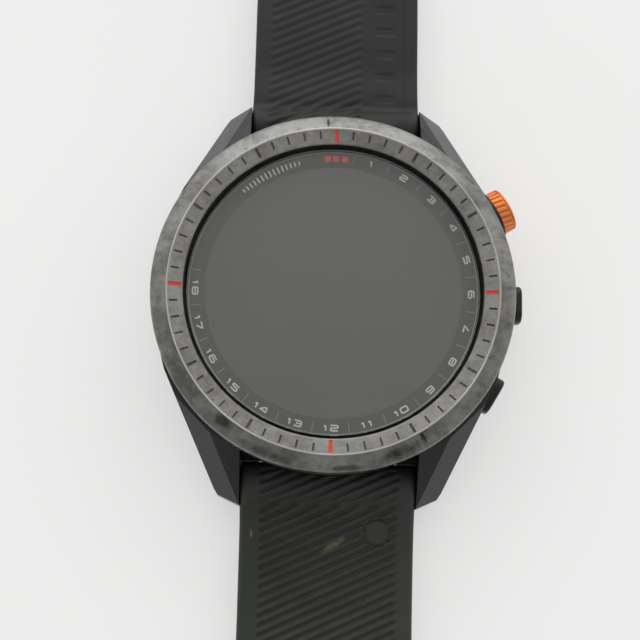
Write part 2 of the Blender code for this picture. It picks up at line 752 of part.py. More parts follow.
def make_buckle_tongue():
    shell = side_prism(circle(1.75, 20, (UPPER_STRAP_Y, BUCKLE_BAR_Z)), -1.3, 1.3)
    tongue = finish("buckle_tongue", shell, dark_steel())
    shank = [(93.0, 3.4), (94.0, 3.5), (106.2, 3.5), (106.4, 3.9), (105.8, 4.4), (94.0, 4.5)]
    join(tongue, side_prism(shank, -1.1, 1.1))
    cut(tongue, side_prism(buckle_bore_outline(), -3.0, 3.0))
    return set_origin(resmooth(tongue), (0.0, UPPER_STRAP_Y, BUCKLE_BAR_Z))


# ---------------------------------------------------------------- assembly

def build_case():
    make_mid_case()
    make_bezel()
    ring("bezel_gasket", 21.25, 21.95, 10.75, 11.2, seal_rubber())
    ring("lens_gasket", 17.5, 18.7, 11.9, 12.3, seal_rubber())
    make_lens()


def build_inside():
    disc("display_panel", DISPLAY_RADIUS, 10.9, 12.1, display_face())
    make_display_frame()
    make_display_flex()
    make_main_board()
    make_shield_can()
    make_battery()
    make_vibration_motor()
    make_gps_antenna()
    disc("sensor_board", 8.5, 2.95, 3.7, board_green(), 32)
    for name, angle in BUTTON_ANGLES.items():
        make_switch(name, angle)


def build_buttons():
    for name, angle in BUTTON_ANGLES.items():
        make_bushing(name, angle)
        make_button_seal(name, angle)
    make_crown_cap()
    make_crown_stem()
    make_side_button("middle")
    make_side_button("lower")


def build_back():
    make_back_cover()
    ring("back_gasket", 20.05, 20.55, 2.5, 3.1, seal_rubber())
    for number, angle in enumerate(SCREW_ANGLES, start=1):
        make_screw(number, angle)
    make_sensor_window()
    make_port_insert()
    for number, x in enumerate(PORT_PINS, start=1):
        make_port_pin(number, x)


def build_band():
    for side, name in ((1, "upper"), (-1, "lower")):
        make_lug_bar(side, name)
        make_latch_housing(side, name)
        make_latch(side, name)
    make_upper_strap()
    make_lower_strap()
    make_keeper("sliding_keeper", SLIDING_KEEPER_Y)
    make_keeper("fixed_keeper", FIXED_KEEPER_Y)
    make_buckle_frame()
    make_buckle_bar()
    make_buckle_tongue()


clear_scene()
build_case()
build_inside()
build_buttons()
build_back()
build_band()
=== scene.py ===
import math

import bmesh
import bpy
from mathutils import Matrix, Vector


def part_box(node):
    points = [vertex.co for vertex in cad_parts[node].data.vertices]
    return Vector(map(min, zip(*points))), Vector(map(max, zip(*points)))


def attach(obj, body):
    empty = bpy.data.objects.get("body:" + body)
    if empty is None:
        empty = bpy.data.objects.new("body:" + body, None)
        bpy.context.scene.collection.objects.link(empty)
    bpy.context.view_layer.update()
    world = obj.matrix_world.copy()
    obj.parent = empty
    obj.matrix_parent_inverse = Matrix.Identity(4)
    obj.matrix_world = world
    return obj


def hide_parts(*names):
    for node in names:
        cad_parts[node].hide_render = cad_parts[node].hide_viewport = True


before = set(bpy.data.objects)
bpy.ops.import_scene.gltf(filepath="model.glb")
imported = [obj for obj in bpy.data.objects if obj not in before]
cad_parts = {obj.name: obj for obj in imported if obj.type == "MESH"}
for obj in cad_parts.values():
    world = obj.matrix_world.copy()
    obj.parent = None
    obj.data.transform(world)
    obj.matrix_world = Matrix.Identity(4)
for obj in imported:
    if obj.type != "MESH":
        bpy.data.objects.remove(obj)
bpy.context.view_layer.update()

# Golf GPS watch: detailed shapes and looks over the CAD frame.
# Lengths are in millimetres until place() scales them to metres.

MM = 0.001


def box_mm(node):
    low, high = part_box(node)
    return Vector(low) / MM, Vector(high) / MM


# Driving dimensions, read from the frame
bezel_low, bezel_high = box_mm("bezel")
lens_low, lens_high = box_mm("lens")
display_low, display_high = box_mm("display_panel")
bar_low, bar_high = box_mm("upper_lug_bar")

BEZEL_RADIUS = bezel_high.x
TOP_Z = bezel_high.z
LENS_RADIUS = lens_high.x
LENS_TOP_Z = lens_high.z
LENS_BOTTOM_Z = lens_low.z
DISPLAY_RADIUS = display_high.y
DISPLAY_TOP_Z = display_high.z
BAR_Y = (bar_low.y + bar_high.y) / 2
BAR_Z = (bar_low.z + bar_high.z) / 2

# Bezel
TICK_RING_OUTER = 21.12
TICK_RING_INNER = 19.3
TICK_RING_Z = TOP_Z - 0.09
TICK_RING_FALL = 0.34
TICK_DEPTH = 0.12
TICK_MIDDLE = 20.4
TICK_REACH = (19.95, 20.98)
BOLD_REACH = (19.75, 21.04)
RED_REACH = (19.45, 21.08)
TICK_WIDTH = 0.2
BOLD_WIDTH = 0.32
RED_WIDTH = 0.46
TICK_WALL = 0.07

# Dial print, on the face under the glass
FACE_Z = LENS_BOTTOM_Z - 0.08
PRINT_Z = FACE_Z + 0.015
PRINT_THICKNESS = 0.02
NUMBER_RADIUS = 17.74
NUMBER_HEIGHT = 0.86
NUMBER_WIDTH = 0.92
ONE_WIDTH = 0.55
NUMBER_GAP = 0.36
NUMBER_STROKE = 0.18
NUMBER_BEND = 0.2
HOLE_STEP = 15.0
LAST_OUTWARD_HOLE = 6
DOT_ANGLES = (285.0, 292.5, 300.0, 307.5)
BAR_COUNT = 15
BAR_START = 317.5
BAR_STEP = 1.9

# Band
STRAP_LUG_HALF = 11.36
STRAP_HALF = 11.3
STRAP_END_HALF = 10.0
BARREL_RADIUS = 3.1
UPPER_END_Y = 94.0
LOWER_END_Y = 146.0
END_THICKNESS = 2.5
LIFT = 1.5
GROOVE_SLOPE = 0.466
LOWER_GROOVE_PITCH = 1.22
UPPER_GROOVE_PITCH = 1.31
LOWER_GROOVE_DEPTH = 0.34
UPPER_GROOVE_DEPTH = 0.11
BOSS_CENTER = (6.5, 30.2)
BOSS_RADIUS = 1.5
MOTIF_PITCH = 3.4
MOTIF_END = 50.0
PANEL_START = 22.2
UPPER_PANEL_END = 66.0
LOWER_PANEL_END = 71.0
STRAP_ROW = 0.16
HOLE_FIRST_Y = 78.0
HOLE_PITCH = 6.0
HOLE_COUNT = 10

# Buttons: degrees from 3 o'clock towards 12
BUTTON_ANGLES = {"crown": 30.0, "middle": 0.0, "lower": -30.0}
BUTTON_Z = 7.0
BUTTON_INNER = 22.9
BUTTON_OUTER = 25.15
CROWN_OUTER = 26.7
CROWN_DEPTH = 0.27
CROWN_SLANT = 0.5

# Heart-rate sensor under the smoked window
SENSOR_RADIUS = 8.0
SENSOR_LAMPS = ((0.0, 2.9), (0.0, -2.9))
SENSOR_RECEIVERS = ((3.4, 0.0), (-3.4, 0.0))

# Wear: stains on the ring are degrees, radius, half sizes and strength;
# scuffs on the lower band are x, y, half sizes and tilt
BEZEL_STAINS = ((-58.5, 22.2, 1.15, 0.42, 1.0), (-67.0, 22.5, 0.85, 3.4, 0.75), (-112.0, 22.6, 0.7, 4.6, 0.6),
                (-128.0, 22.0, 0.8, 1.5, 0.7), (93.0, 22.3, 0.95, 0.26, 0.9), (-85.0, 22.9, 0.4, 3.0, 0.6))
LOWER_SCUFFS = ((0.9, -31.9, 2.3, 0.5, 32.0), (-9.75, -30.7, 0.2, 0.6, 0.0))

# Dark and light tone of each band half. Both halves are one silicone: the upper half is painted darker as
# painted shade, the lower half lighter as painted light
UPPER_BAND_SHADED_TONES = ((0.02, 0.022, 0.0195), (0.028, 0.03, 0.0265))
LOWER_BAND_LIT_TONES = ((0.037, 0.041, 0.036), (0.048, 0.052, 0.047))

# Camera
VIEW_PITCH = 11.83
VIEW_YAW = 1.15
VIEW_ROLL = 1.33
EYE = (-5.32, -41.4, 192.05)
LENS_MM = 80.5

# Floor, just under the watch
FLOOR_HALF = 900.0
FLOOR_Z = -0.02

# Brightness of the room from 6 o'clock (0) to 12 o'clock (1)
ROOM_STOPS = ((0.0, 0.42), (0.5, 0.45), (0.6, 0.62), (0.7, 0.89), (1.0, 1.03))


# -------- node helpers

def blank_material(name):
    made = bpy.data.materials.new(name)
    made.use_nodes = True
    tree = made.node_tree
    return made, tree, tree.nodes["Principled BSDF"]


def link(tree, source, target):
    tree.links.new(source, target)


def object_place(tree):
    return tree.nodes.new("ShaderNodeTexCoord").outputs["Object"]


def noise(tree, scale, detail=3.0, roughness=0.55, place=None):
    """Fractal noise; scale is features per metre."""
    node = tree.nodes.new("ShaderNodeTexNoise")
    node.inputs["Scale"].default_value = scale
    node.inputs["Detail"].default_value = detail
    node.inputs["Roughness"].default_value = roughness
    link(tree, place or object_place(tree), node.inputs["Vector"])
    return node.outputs["Fac"]


def ramp(tree, source, stops):
    """Map a value through (position, colour or grey) stops."""
    node = tree.nodes.new("ShaderNodeValToRGB")
    while len(node.color_ramp.elements) < len(stops):
        node.color_ramp.elements.new(0.5)
    for element, (position, color) in zip(node.color_ramp.elements, stops):
        element.position = position
        shade = (color, color, color) if isinstance(color, (int, float)) else color
        element.color = (*shade, 1.0)
    link(tree, source, node.inputs["Fac"])
    return node.outputs["Color"]


def mix(tree, share, first, second):
    """Blend two colours or colour sockets by a share socket."""
    node = tree.nodes.new("ShaderNodeMix")
    node.data_type = "RGBA"
    link(tree, share, node.inputs["Factor"])
    for socket, value in ((node.inputs["A"], first), (node.inputs["B"], second)):
        if isinstance(value, tuple):
            socket.default_value = (*value, 1.0)
        else:
            link(tree, value, socket)
    return node.outputs["Result"]


def math_node(tree, operation, first, second=None):
    node = tree.nodes.new("ShaderNodeMath")
    node.operation = operation
    for index, value in enumerate((first, second)):
        if value is None:
            continue
        if isinstance(value, (int, float)):
            node.inputs[index].default_value = value
        else:
            link(tree, value, node.inputs[index])
    return node.outputs[0]


def bump(tree, shader, height, strength, distance):
    node = tree.nodes.new("ShaderNodeBump")
    node.inputs["Strength"].default_value = strength
    node.inputs["Distance"].default_value = distance
    link(tree, height, node.inputs["Height"])
    link(tree, node.outputs["Normal"], shader.inputs["Normal"])


# -------- materials

def speckled(name, dark, light, roughness, metallic=0.0, grain=3500.0, relief=0.15, depth=0.00002):
    """A moulded or coated surface: two close tones, varied gloss and fine grain."""
    made, tree, shader = blank_material(name)
    shader.inputs["Metallic"].default_value = metallic
    broad = noise(tree, 90.0, 4.0)
    fine = noise(tree, grain, 2.0)
    share = ramp(tree, broad, ((0.35, 0.0), (0.68, 1.0)))
    link(tree, mix(tree, share, dark, light), shader.inputs["Base Color"])
    low = max(0.02, roughness - 0.06)
    gloss = ramp(tree, noise(tree, 260.0, 5.0), ((0.3, low), (0.7, roughness + 0.07)))
    link(tree, gloss, shader.inputs["Roughness"])
    bump(tree, shader, fine, relief, depth)
    return made


def recess_look():
    """The walls that face the ends of the band: matt, and a little darker than the case as painted shade in
    the recess.
    """
    made = speckled("recess_look", (0.008, 0.008, 0.008), (0.013, 0.013, 0.013), 0.7, 0.0, 4200.0, 0.3)
    made.node_tree.nodes["Principled BSDF"].inputs["Specular IOR Level"].default_value = 0.1
    return made


def spot_share(tree, x, y, long, wide, tilt):
    """1 inside a small ellipse on the top (millimetres and degrees), easing to 0 at its edge."""
    mapping = tree.nodes.new("ShaderNodeMapping")
    mapping.vector_type = "TEXTURE"
    mapping.inputs["Location"].default_value = (x * MM, y * MM, 0.0)
    mapping.inputs["Rotation"].default_value = (0.0, 0.0, math.radians(tilt))
    mapping.inputs["Scale"].default_value = (long * MM, wide * MM, 1.0)
    link(tree, object_place(tree), mapping.inputs["Vector"])
    length = tree.nodes.new("ShaderNodeVectorMath")
    length.operation = "LENGTH"
    link(tree, mapping.outputs["Vector"], length.inputs[0])
    return ramp(tree, length.outputs["Value"], ((0.45, 1.0), (1.0, 0.0)))


def worn_metal(name, metallic, scales, spread, tones, dust, grime, gloss, relief, stains=()):
    """Satin ring metal: smears between two tones, light dust, dark grime and, where given, stains.

    Dust and grime are the second ramp stop, the strength and the tone; relief is its grain and strength.
    """
    made, tree, shader = blank_material(name)
    shader.inputs["Metallic"].default_value = metallic
    smear = noise(tree, scales[0], 6.0, 0.65)
    grit = noise(tree, scales[1], 5.0, 0.7)
    tone = mix(tree, ramp(tree, smear, ((spread[0], 0.0), (spread[1], 1.0))), *tones)
    for start, (stop, strength, color) in (((0.5, 0.0), dust), ((0.3, 1.0), grime)):
        share = ramp(tree, grit, (start, (stop, 1.0 - start[1])))
        tone = mix(tree, math_node(tree, "MULTIPLY", share, strength), tone, color)
    for turn, radius, long, wide, strength in stains:
        angle = math.radians(turn)
        share = spot_share(tree, radius * math.cos(angle), radius * math.sin(angle), long, wide, turn)
        torn = ramp(tree, noise(tree, 420.0, 5.0, 0.65), ((0.36, 0.25 * strength), (0.55, strength)))
        tone = mix(tree, math_node(tree, "MULTIPLY", share, torn), tone, (0.02, 0.02, 0.016))
    link(tree, tone, shader.inputs["Base Color"])
    link(tree, ramp(tree, smear, ((0.3, gloss[0]), (0.7, gloss[1]))), shader.inputs["Roughness"])
    bump(tree, shader, noise(tree, relief[0], 3.0), relief[1], 0.00002)
    return made


def bezel_look():
    """The chamfer: dark, smeared and stained."""
    tones = ((0.165, 0.161, 0.148), (0.3, 0.296, 0.28))
    dust = (0.72, 0.45, (0.42, 0.41, 0.38))
    grime = (0.45, 0.6, (0.07, 0.065, 0.05))
    return worn_metal("bezel_look", 0.85, (150.0, 900.0), (0.4, 0.58), tones, dust, grime, (0.26, 0.4),
                      (2600.0, 0.12), BEZEL_STAINS)


def tick_ring_look():
    """The flat inside the crest: warmer and lighter, with dust settled between the marks."""
    tones = ((0.2, 0.192, 0.172), (0.33, 0.323, 0.3))
    dust = (0.68, 0.4, (0.46, 0.44, 0.38))
    grime = (0.42, 0.5, (0.11, 0.1, 0.08))
    return worn_metal("tick_ring_look", 0.7, (170.0, 1300.0), (0.36, 0.62), tones, dust, grime, (0.3, 0.44),
                      (3200.0, 0.15))


def glass_look():
    made, tree, shader = blank_material("glass_look")
    shader.inputs["Transmission Weight"].default_value = 1.0
    shader.inputs["IOR"].default_value = 1.5
    shader.inputs["Base Color"].default_value = (0.97, 0.98, 0.97, 1.0)
    smudge = ramp(tree, noise(tree, 75.0, 5.0, 0.6), ((0.35, 0.0), (0.75, 0.006)))
    link(tree, smudge, shader.inputs["Roughness"])
    return made


def display_look():
    """Switched-off display: grey with a faint cloudy drift and fine dust."""
    made, tree, shader = blank_material("display_look")
    drift = ramp(tree, noise(tree, 28.0, 2.0), ((0.3, 0.0), (0.7, 1.0)))
    tone = mix(tree, drift, (0.107, 0.109, 0.094), (0.121, 0.122, 0.106))
    dust = ramp(tree, noise(tree, 1700.0, 1.0), ((0.8, 0.0), (0.84, 1.0)))
    tone = mix(tree, math_node(tree, "MULTIPLY", dust, 0.3), tone, (0.2, 0.2, 0.18))
    link(tree, tone, shader.inputs["Base Color"])
    link(tree, ramp(tree, noise(tree, 180.0, 3.0), ((0.3, 0.3), (0.7, 0.42))), shader.inputs["Roughness"])
    return made


def silicone_look(name, dark, light, scuffs=()):
    """Matt silicone with lint and, at each scuff (x, y, long, wide, tilt), a pale rubbed mark."""
    made, tree, shader = blank_material(name)
    shader.inputs["Specular IOR Level"].default_value = 0.35
    tone = mix(tree, ramp(tree, noise(tree, 70.0, 4.0), ((0.35, 0.0), (0.68, 1.0))), dark, light)
    lint = ramp(tree, noise(tree, 1500.0, 3.0), ((0.72, 0.0), (0.8, 1.0)))
    tone = mix(tree, math_node(tree, "MULTIPLY", lint, 0.4), tone, (0.1, 0.1, 0.095))
    for x, y, long, wide, tilt in scuffs:
        near = spot_share(tree, x, y, long, wide, tilt)
        torn = ramp(tree, noise(tree, 2600.0, 3.0), ((0.34, 0.0), (0.5, 1.0)))
        share = math_node(tree, "MULTIPLY", near, torn)
        tone = mix(tree, math_node(tree, "MULTIPLY", share, 0.8), tone, (0.2, 0.175, 0.09))
    link(tree, tone, shader.inputs["Base Color"])
    link(tree, ramp(tree, noise(tree, 240.0, 4.0), ((0.3, 0.5), (0.7, 0.64))), shader.inputs["Roughness"])
    bump(tree, shader, noise(tree, 4200.0, 3.0), 0.3, 0.00003)
    return made


def brushed(name, tone, roughness):
    """Metal brushed along X: fine streaks in colour, gloss and relief."""
    made, tree, shader = blank_material(name)
    shader.inputs["Metallic"].default_value = 1.0
    mapping = tree.nodes.new("ShaderNodeMapping")
    mapping.inputs["Scale"].default_value = (0.06, 1.0, 1.0)
    link(tree, object_place(tree), mapping.inputs["Vector"])
    streak = noise(tree, 6000.0, 3.0, 0.6, mapping.outputs["Vector"])
    dark = tuple(channel * 0.75 for channel in tone)
    share = ramp(tree, streak, ((0.3, 0.0), (0.7, 1.0)))
    link(tree, mix(tree, share, dark, tone), shader.inputs["Base Color"])
    gloss = ramp(tree, streak, ((0.3, roughness - 0.06), (0.7, roughness + 0.08)))
    link(tree, gloss, shader.inputs["Roughness"])
    bump(tree, shader, streak, 0.12, 0.00002)
    return made


def floor_look():
    made, tree, shader = blank_material("floor_look")
    link(tree, ramp(tree, noise(tree, 9.0, 3.0), ((0.3, 0.5), (0.7, 0.53))), shader.inputs["Base Color"])
    shader.inputs["Roughness"].default_value = 0.8
    shader.inputs["Specular IOR Level"].default_value = 0.1
    shader.inputs["Emission Color"].default_value = (1.0, 1.0, 0.99, 1.0)
    shader.inputs["Emission Strength"].default_value = 0.5
    return made


# Plain looks: material name, dark tone, light tone and roughness, then metallic, grain, relief and its depth
SPECKLED = {
    "case": ("case_look", (0.009, 0.009, 0.009), (0.014, 0.014, 0.014), 0.28, 0.0, 5200.0, 0.2),
    "back": ("back_look", (0.014, 0.014, 0.015), (0.021, 0.021, 0.022), 0.42, 0.0, 5200.0, 0.3),
    # crest: the bezel's crest line as a brighter metal than the ring, a painted highlight
    "crest": ("crest_painted_highlight_look", (0.42, 0.42, 0.41), (0.68, 0.68, 0.66), 0.26, 0.9, 2600.0, 0.1),
    "tick": ("tick_paint", (0.035, 0.034, 0.028), (0.13, 0.125, 0.108), 0.6),
    "red": ("red_paint", (0.72, 0.055, 0.035), (0.85, 0.085, 0.055), 0.45, 0.0, 2500.0, 0.2),
    "wall": ("black_wall_look", (0.006, 0.006, 0.006), (0.011, 0.011, 0.01), 0.45),
    "ring": ("print_ring_look", (0.078, 0.08, 0.066), (0.088, 0.089, 0.077), 0.5),
    "white": ("white_print_look", (0.62, 0.62, 0.585), (0.74, 0.74, 0.7), 0.6),
    # faint: pale print lines and dots, and the painted highlight at the glass edge
    "faint": ("faint_print_and_edge_highlight_look", (0.25, 0.25, 0.23), (0.31, 0.31, 0.285), 0.6),
    "orange": ("orange_look", (1.0, 0.29, 0.07), (1.0, 0.4, 0.12), 0.36, 0.3, 3000.0, 0.15),
    "button": ("button_look", (0.018, 0.02, 0.016), (0.03, 0.032, 0.026), 0.3, 0.6, 4200.0, 0.12),
    # collar: near-black round the crown's foot, partly painted shade under the crown cap
    "collar": ("shade_collar_look", (0.008, 0.008, 0.01), (0.014, 0.014, 0.018), 0.35),
    "rubber": ("rubber_look", (0.012, 0.012, 0.012), (0.02, 0.02, 0.02), 0.65, 0.0, 3000.0, 0.3),
    "board": ("board_look", (0.01, 0.07, 0.03), (0.02, 0.11, 0.05), 0.45, 0.0, 1800.0, 0.3),
    "foil": ("foil_look", (0.24, 0.25, 0.27), (0.34, 0.35, 0.37), 0.35, 0.8, 900.0, 0.5, 0.00008),
    "film": ("film_look", (0.42, 0.17, 0.02), (0.55, 0.25, 0.04), 0.35),
    "gold": ("gold_look", (0.72, 0.5, 0.18), (0.85, 0.63, 0.27), 0.24, 1.0),
    "smoked": ("smoked_look", (0.006, 0.006, 0.008), (0.012, 0.012, 0.015), 0.1, 0.0, 900.0, 0.02),
    "black": ("moulded_black_look", (0.012, 0.012, 0.013), (0.02, 0.02, 0.022), 0.45, 0.0, 5000.0, 0.3),
    "emitter": ("emitter_look", (0.05, 0.16, 0.07), (0.09, 0.26, 0.12), 0.25),
    "receiver": ("receiver_look", (0.05, 0.035, 0.06), (0.08, 0.06, 0.09), 0.22),
}
LOOKS = {key: speckled(*values) for key, values in SPECKLED.items()}
LOOKS.update({
    "recess": recess_look(),
    "bezel": bezel_look(),
    "tick_ring": tick_ring_look(),
    "glass": glass_look(),
    "display": display_look(),
    # lit and shaded copies of one silicone: painted shade on the upper half, painted light on the lower half
    "upper_silicone_painted_shade": silicone_look("upper_silicone_painted_shade", *UPPER_BAND_SHADED_TONES),
    "lower_silicone_painted_light": silicone_look("lower_silicone_painted_light", *LOWER_BAND_LIT_TONES, LOWER_SCUFFS),
    "steel": brushed("steel_look", (0.5, 0.5, 0.51), 0.28),
    "dark_steel": brushed("dark_steel_look", (0.1, 0.1, 0.105), 0.34),
    "floor": floor_look(),
})


# -------- mesh helpers

def place(name, made, looks, body, node=None, slot=None, smooth=35.0):
    """Turn a bmesh drawn in millimetres into a piece that rides on a body."""
    bmesh.ops.recalc_face_normals(made, faces=made.faces)
    mesh = bpy.data.meshes.new(name)
    made.to_mesh(mesh)
    made.free()
    mesh.transform(Matrix.Scale(MM, 4))
    for look in looks:
        mesh.materials.append(LOOKS[look])
    piece = bpy.data.objects.new(name, mesh)
    bpy.context.scene.collection.objects.link(piece)
    smooth_by_angle(piece, smooth)
    if body:
        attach(piece, body)
    if node:
        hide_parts(node)
    return piece


def smooth_by_angle(piece, angle):
    piece.data.shade_smooth()
    piece.data.set_sharp_from_angle(angle=math.radians(angle))


def bake_modifiers(piece):
    """Apply a piece's modifiers to its mesh."""
    graph = bpy.context.evaluated_depsgraph_get()
    baked = bpy.data.meshes.new_from_object(piece.evaluated_get(graph))
    piece.modifiers.clear()
    piece.data = baked


def combine(piece, tools, operation):
    """Join or cut a piece with bmesh solids."""
    for tool in tools:
        cutter = place(f"{piece.name}_tool", tool, (), None)
        step = piece.modifiers.new("shape", "BOOLEAN")
        step.operation = operation
        step.solver = "EXACT"
        step.object = cutter
        bake_modifiers(piece)
        bpy.data.objects.remove(cutter, do_unlink=True)


def soften(piece, width, segments=2, angle=30.0):
    """Round the sharp edges of a piece, as moulding and tumbling do."""
    step = piece.modifiers.new("soften", "BEVEL")
    step.width = width * MM
    step.segments = segments
    step.limit_method = "ANGLE"
    step.angle_limit = math.radians(angle)
    step.harden_normals = True
    bake_modifiers(piece)


def refined(node, name, looks, width, body, slot, segments=2, angle=30.0):
    """A softened copy of a CAD node that stands for it."""
    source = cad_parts[node]
    made = bmesh.new()
    made.from_mesh(source.data)
    bmesh.ops.remove_doubles(made, verts=made.verts, dist=0.000002)
    bmesh.ops.dissolve_limit(made, angle_limit=math.radians(0.5), verts=made.verts, edges=made.edges)
    bmesh.ops.transform(made, matrix=Matrix.Scale(1.0 / MM, 4), verts=made.verts)
    piece = place(name, made, looks, body, node, slot)
    soften(piece, width, segments, angle)
    return piece


def strip(made, near, far, closed=False):
    """Bridge two rows of vertices with quads."""
    count = len(near)
    for step in range(count if closed else count - 1):
        after = (step + 1) % count
        made.faces.new((near[step], near[after], far[after], far[step]))


def loft(made, lines, capped=True):
    """Bridge closed rows of vertices in order and, if capped, close both ends."""
    for near, far in zip(lines, lines[1:]):
        strip(made, near, far, True)
    if capped:
        made.faces.new(lines[0])
        made.faces.new(lines[-1])


def lathe(profile, segments, closed=True):
    """Turn (radius, z) points about Z; a closed profile makes a ring."""
    made = bmesh.new()
    rings = []
    for radius, height in profile:
        if radius < 1e-6:
            rings.append([made.verts.new((0.0, 0.0, height))])
            continue
        line = []
        for step in range(segments):
            turn = 2.0 * math.pi * step / segments
            line.append(made.verts.new((radius * math.cos(turn), radius * math.sin(turn), height)))
        rings.append(line)
    pairs = list(zip(rings, rings[1:]))
    if closed:
        pairs.append((rings[-1], rings[0]))
    for near, far in pairs:
        if len(near) > 1 and len(far) > 1:
            strip(made, near, far, True)
        elif len(near) > 1 or len(far) > 1:
            hub, rim = (near[0], far) if len(near) == 1 else (far[0], near)
            for step in range(segments):
                made.faces.new((hub, rim[step], rim[(step + 1) % segments]))
    return made


def prism(outline, low, high, made=None):
    """Extrude a closed outline from z = low to z = high, into its own bmesh or a given one."""
    if made is None:
        made = bmesh.new()
    floor = [made.verts.new((x, y, low)) for x, y in outline]
    roof = [made.verts.new((x, y, high)) for x, y in outline]
    made.faces.new(floor)
    made.faces.new(roof)
    strip(made, floor, roof, True)
    return made


def block(low, high):
    outline = ((low[0], low[1]), (high[0], low[1]), (high[0], high[1]), (low[0], high[1]))
    return prism(outline, low[2], high[2])


def circle(radius, segments, center=(0.0, 0.0)):
    return [(center[0] + radius * math.cos(2.0 * math.pi * step / segments),
             center[1] + radius * math.sin(2.0 * math.pi * step / segments)) for step in range(segments)]


def rounded_outline(half_x, half_y, radius, center=(0.0, 0.0), corner_steps=6):
    outline = []
    for corner, (sign_x, sign_y) in enumerate(((1, 1), (-1, 1), (-1, -1), (1, -1))):
        for step in range(corner_steps + 1):
            angle = math.radians(90.0 * corner + 90.0 * step / corner_steps)
            x = center[0] + sign_x * (half_x - radius) + radius * math.cos(angle)
            y = center[1] + sign_y * (half_y - radius) + radius * math.sin(angle)
            outline.append((x, y))
    return outline


def side_prism(outline, low, high):
    """Extrude a closed (y, z) outline along X."""
    made = prism(outline, low, high)
    turn = Matrix(((0, 0, 1, 0), (1, 0, 0, 0), (0, 1, 0, 0), (0, 0, 0, 1)))
    bmesh.ops.transform(made, matrix=turn, verts=made.verts)
    return made


def mirror_y(made):
    bmesh.ops.transform(made, matrix=Matrix.Scale(-1.0, 4, (0, 1, 0)), verts=made.verts)
    return made


def radial(made, angle, height=BUTTON_Z):
    """Point a bmesh whose own axis is Z outward at this angle."""
    tip = Matrix(((0, 0, 1, 0), (0, 1, 0, 0), (-1, 0, 0, 0), (0, 0, 0, 1)))
    turn = Matrix.Rotation(math.radians(angle), 4, "Z")
    bmesh.ops.transform(made, matrix=Matrix.Translation((0, 0, height)) @ turn @ tip, verts=made.verts)
    return made


def smooth_step(value):
    value = min(1.0, max(0.0, value))
    return value * value * (3.0 - 2.0 * value)


# -------- bezel

def tick_of(number):
    """Half width in degrees, reach and look of one of the 60 marks."""
    if number % 15 == 0:
        width, reach, look = RED_WIDTH, RED_REACH, "red"
    elif number % 5 == 0:
        width, reach, look = BOLD_WIDTH, BOLD_REACH, "tick"
    else:
        width, reach, look = TICK_WIDTH, TICK_REACH, "tick"
    return math.degrees(width / 2 / TICK_MIDDLE), reach, look


def bezel_columns():
    """Angles round the ring, with extra columns at the walls of each engraved mark."""
    columns = []
    for number in range(60):
        middle = 6.0 * number
        half = tick_of(number)[0]
        for offset in (-half - TICK_WALL, -half, half, half + TICK_WALL):
            columns.append((middle + offset, number))
        start = middle + half + TICK_WALL
        end = middle + 6.0 - tick_of((number + 1) % 60)[0] - TICK_WALL
        for step in range(1, 8):
            columns.append((start + (end - start) * step / 8, None))
    return columns


def bezel_rows():
    """Radius and height down the tick ring, with rows at the ends of every mark."""
    radii = set()
    for low, high in (TICK_REACH, BOLD_REACH, RED_REACH):
        radii.update((low, low + 0.04, high - 0.04, high))
    return sorted(radii, reverse=True)


def ring_height(radius):
    """The tick ring falls a little towards the glass."""
    return TICK_RING_Z - TICK_RING_FALL * (TICK_RING_OUTER - radius) / (TICK_RING_OUTER - TICK_RING_INNER)


def in_mark(radius, angle, number):
    half, reach = tick_of(number)[:2]
    along = reach[0] + 0.02 < radius < reach[1] - 0.02
    return along and abs((angle - 6.0 * number + 180.0) % 360.0 - 180.0) <= half + 1e-6


def make_bezel():
    """The turned ring with 60 engraved and painted marks."""
    outside = [(22.0, bezel_low.z + 1.5), (23.2, 11.4), (BEZEL_RADIUS, 11.65), (BEZEL_RADIUS, 13.32),
               (23.46, 13.46), (23.36, 13.6), (23.2, 13.72), (22.9, 13.9), (22.6, 14.08), (22.1, 14.38),
               (21.7, 14.62), (21.5, 14.73), (21.4, 14.785), (21.32, TOP_Z), (21.24, 14.785), (21.18, 14.725)]
    radii = [TICK_RING_OUTER] + bezel_rows() + [TICK_RING_INNER + 0.05]
    slope = [(radius, ring_height(radius)) for radius in radii]
    inside = [(TICK_RING_INNER, slope[-1][1] - 0.03), (19.23, 14.2), (19.13, 13.4), (19.1, 11.62),
              (17.35, 11.6), (17.3, 10.95), (19.3, 10.95), (19.3, 9.9), (19.9, 9.9), (19.9, 11.4)]
    profile = outside + slope + inside
    crest = range(12, 15)
    looks = ("bezel", "tick", "red", "crest", "wall", "tick_ring")
    wall_from = len(outside) + len(slope)
    made = bmesh.new()
    columns = bezel_columns()
    lines = []
    for row, (radius, height) in enumerate(profile):
        line = []
        for angle, number in columns:
            turn = math.radians(angle)
            sunk = height
            if number is not None and len(outside) <= row < wall_from and in_mark(radius, angle, number):
                sunk -= TICK_DEPTH
            line.append(made.verts.new((radius * math.cos(turn), radius * math.sin(turn), sunk)))
        lines.append(line)
    for row in range(len(lines)):
        near = lines[row]
        far = lines[(row + 1) % len(lines)]
        for step in range(len(columns)):
            after = (step + 1) % len(columns)
            face = made.faces.new((near[step], near[after], far[after], far[step]))
            # the crest rows take the brighter crest metal, a painted highlight
            if row in crest:
                look = "crest"
            elif row > wall_from:
                look = "wall"
            else:
                look = "tick_ring" if row >= len(outside) - 1 else "bezel"
            number = columns[step][1] if columns[step][1] is not None else columns[after][1]
            sunk = [corner for corner in face.verts
                    if corner.co.z < ring_height(math.hypot(corner.co.x, corner.co.y)) - TICK_DEPTH / 2]
            if len(outside) <= row < wall_from - 1 and sunk and number is not None:
                look = tick_of(number)[2]
            face.material_index = looks.index(look)
    place("bezel_ring", made, looks, "case", "bezel", "bezel_metal", 28.0)


# -------- glass and dial print

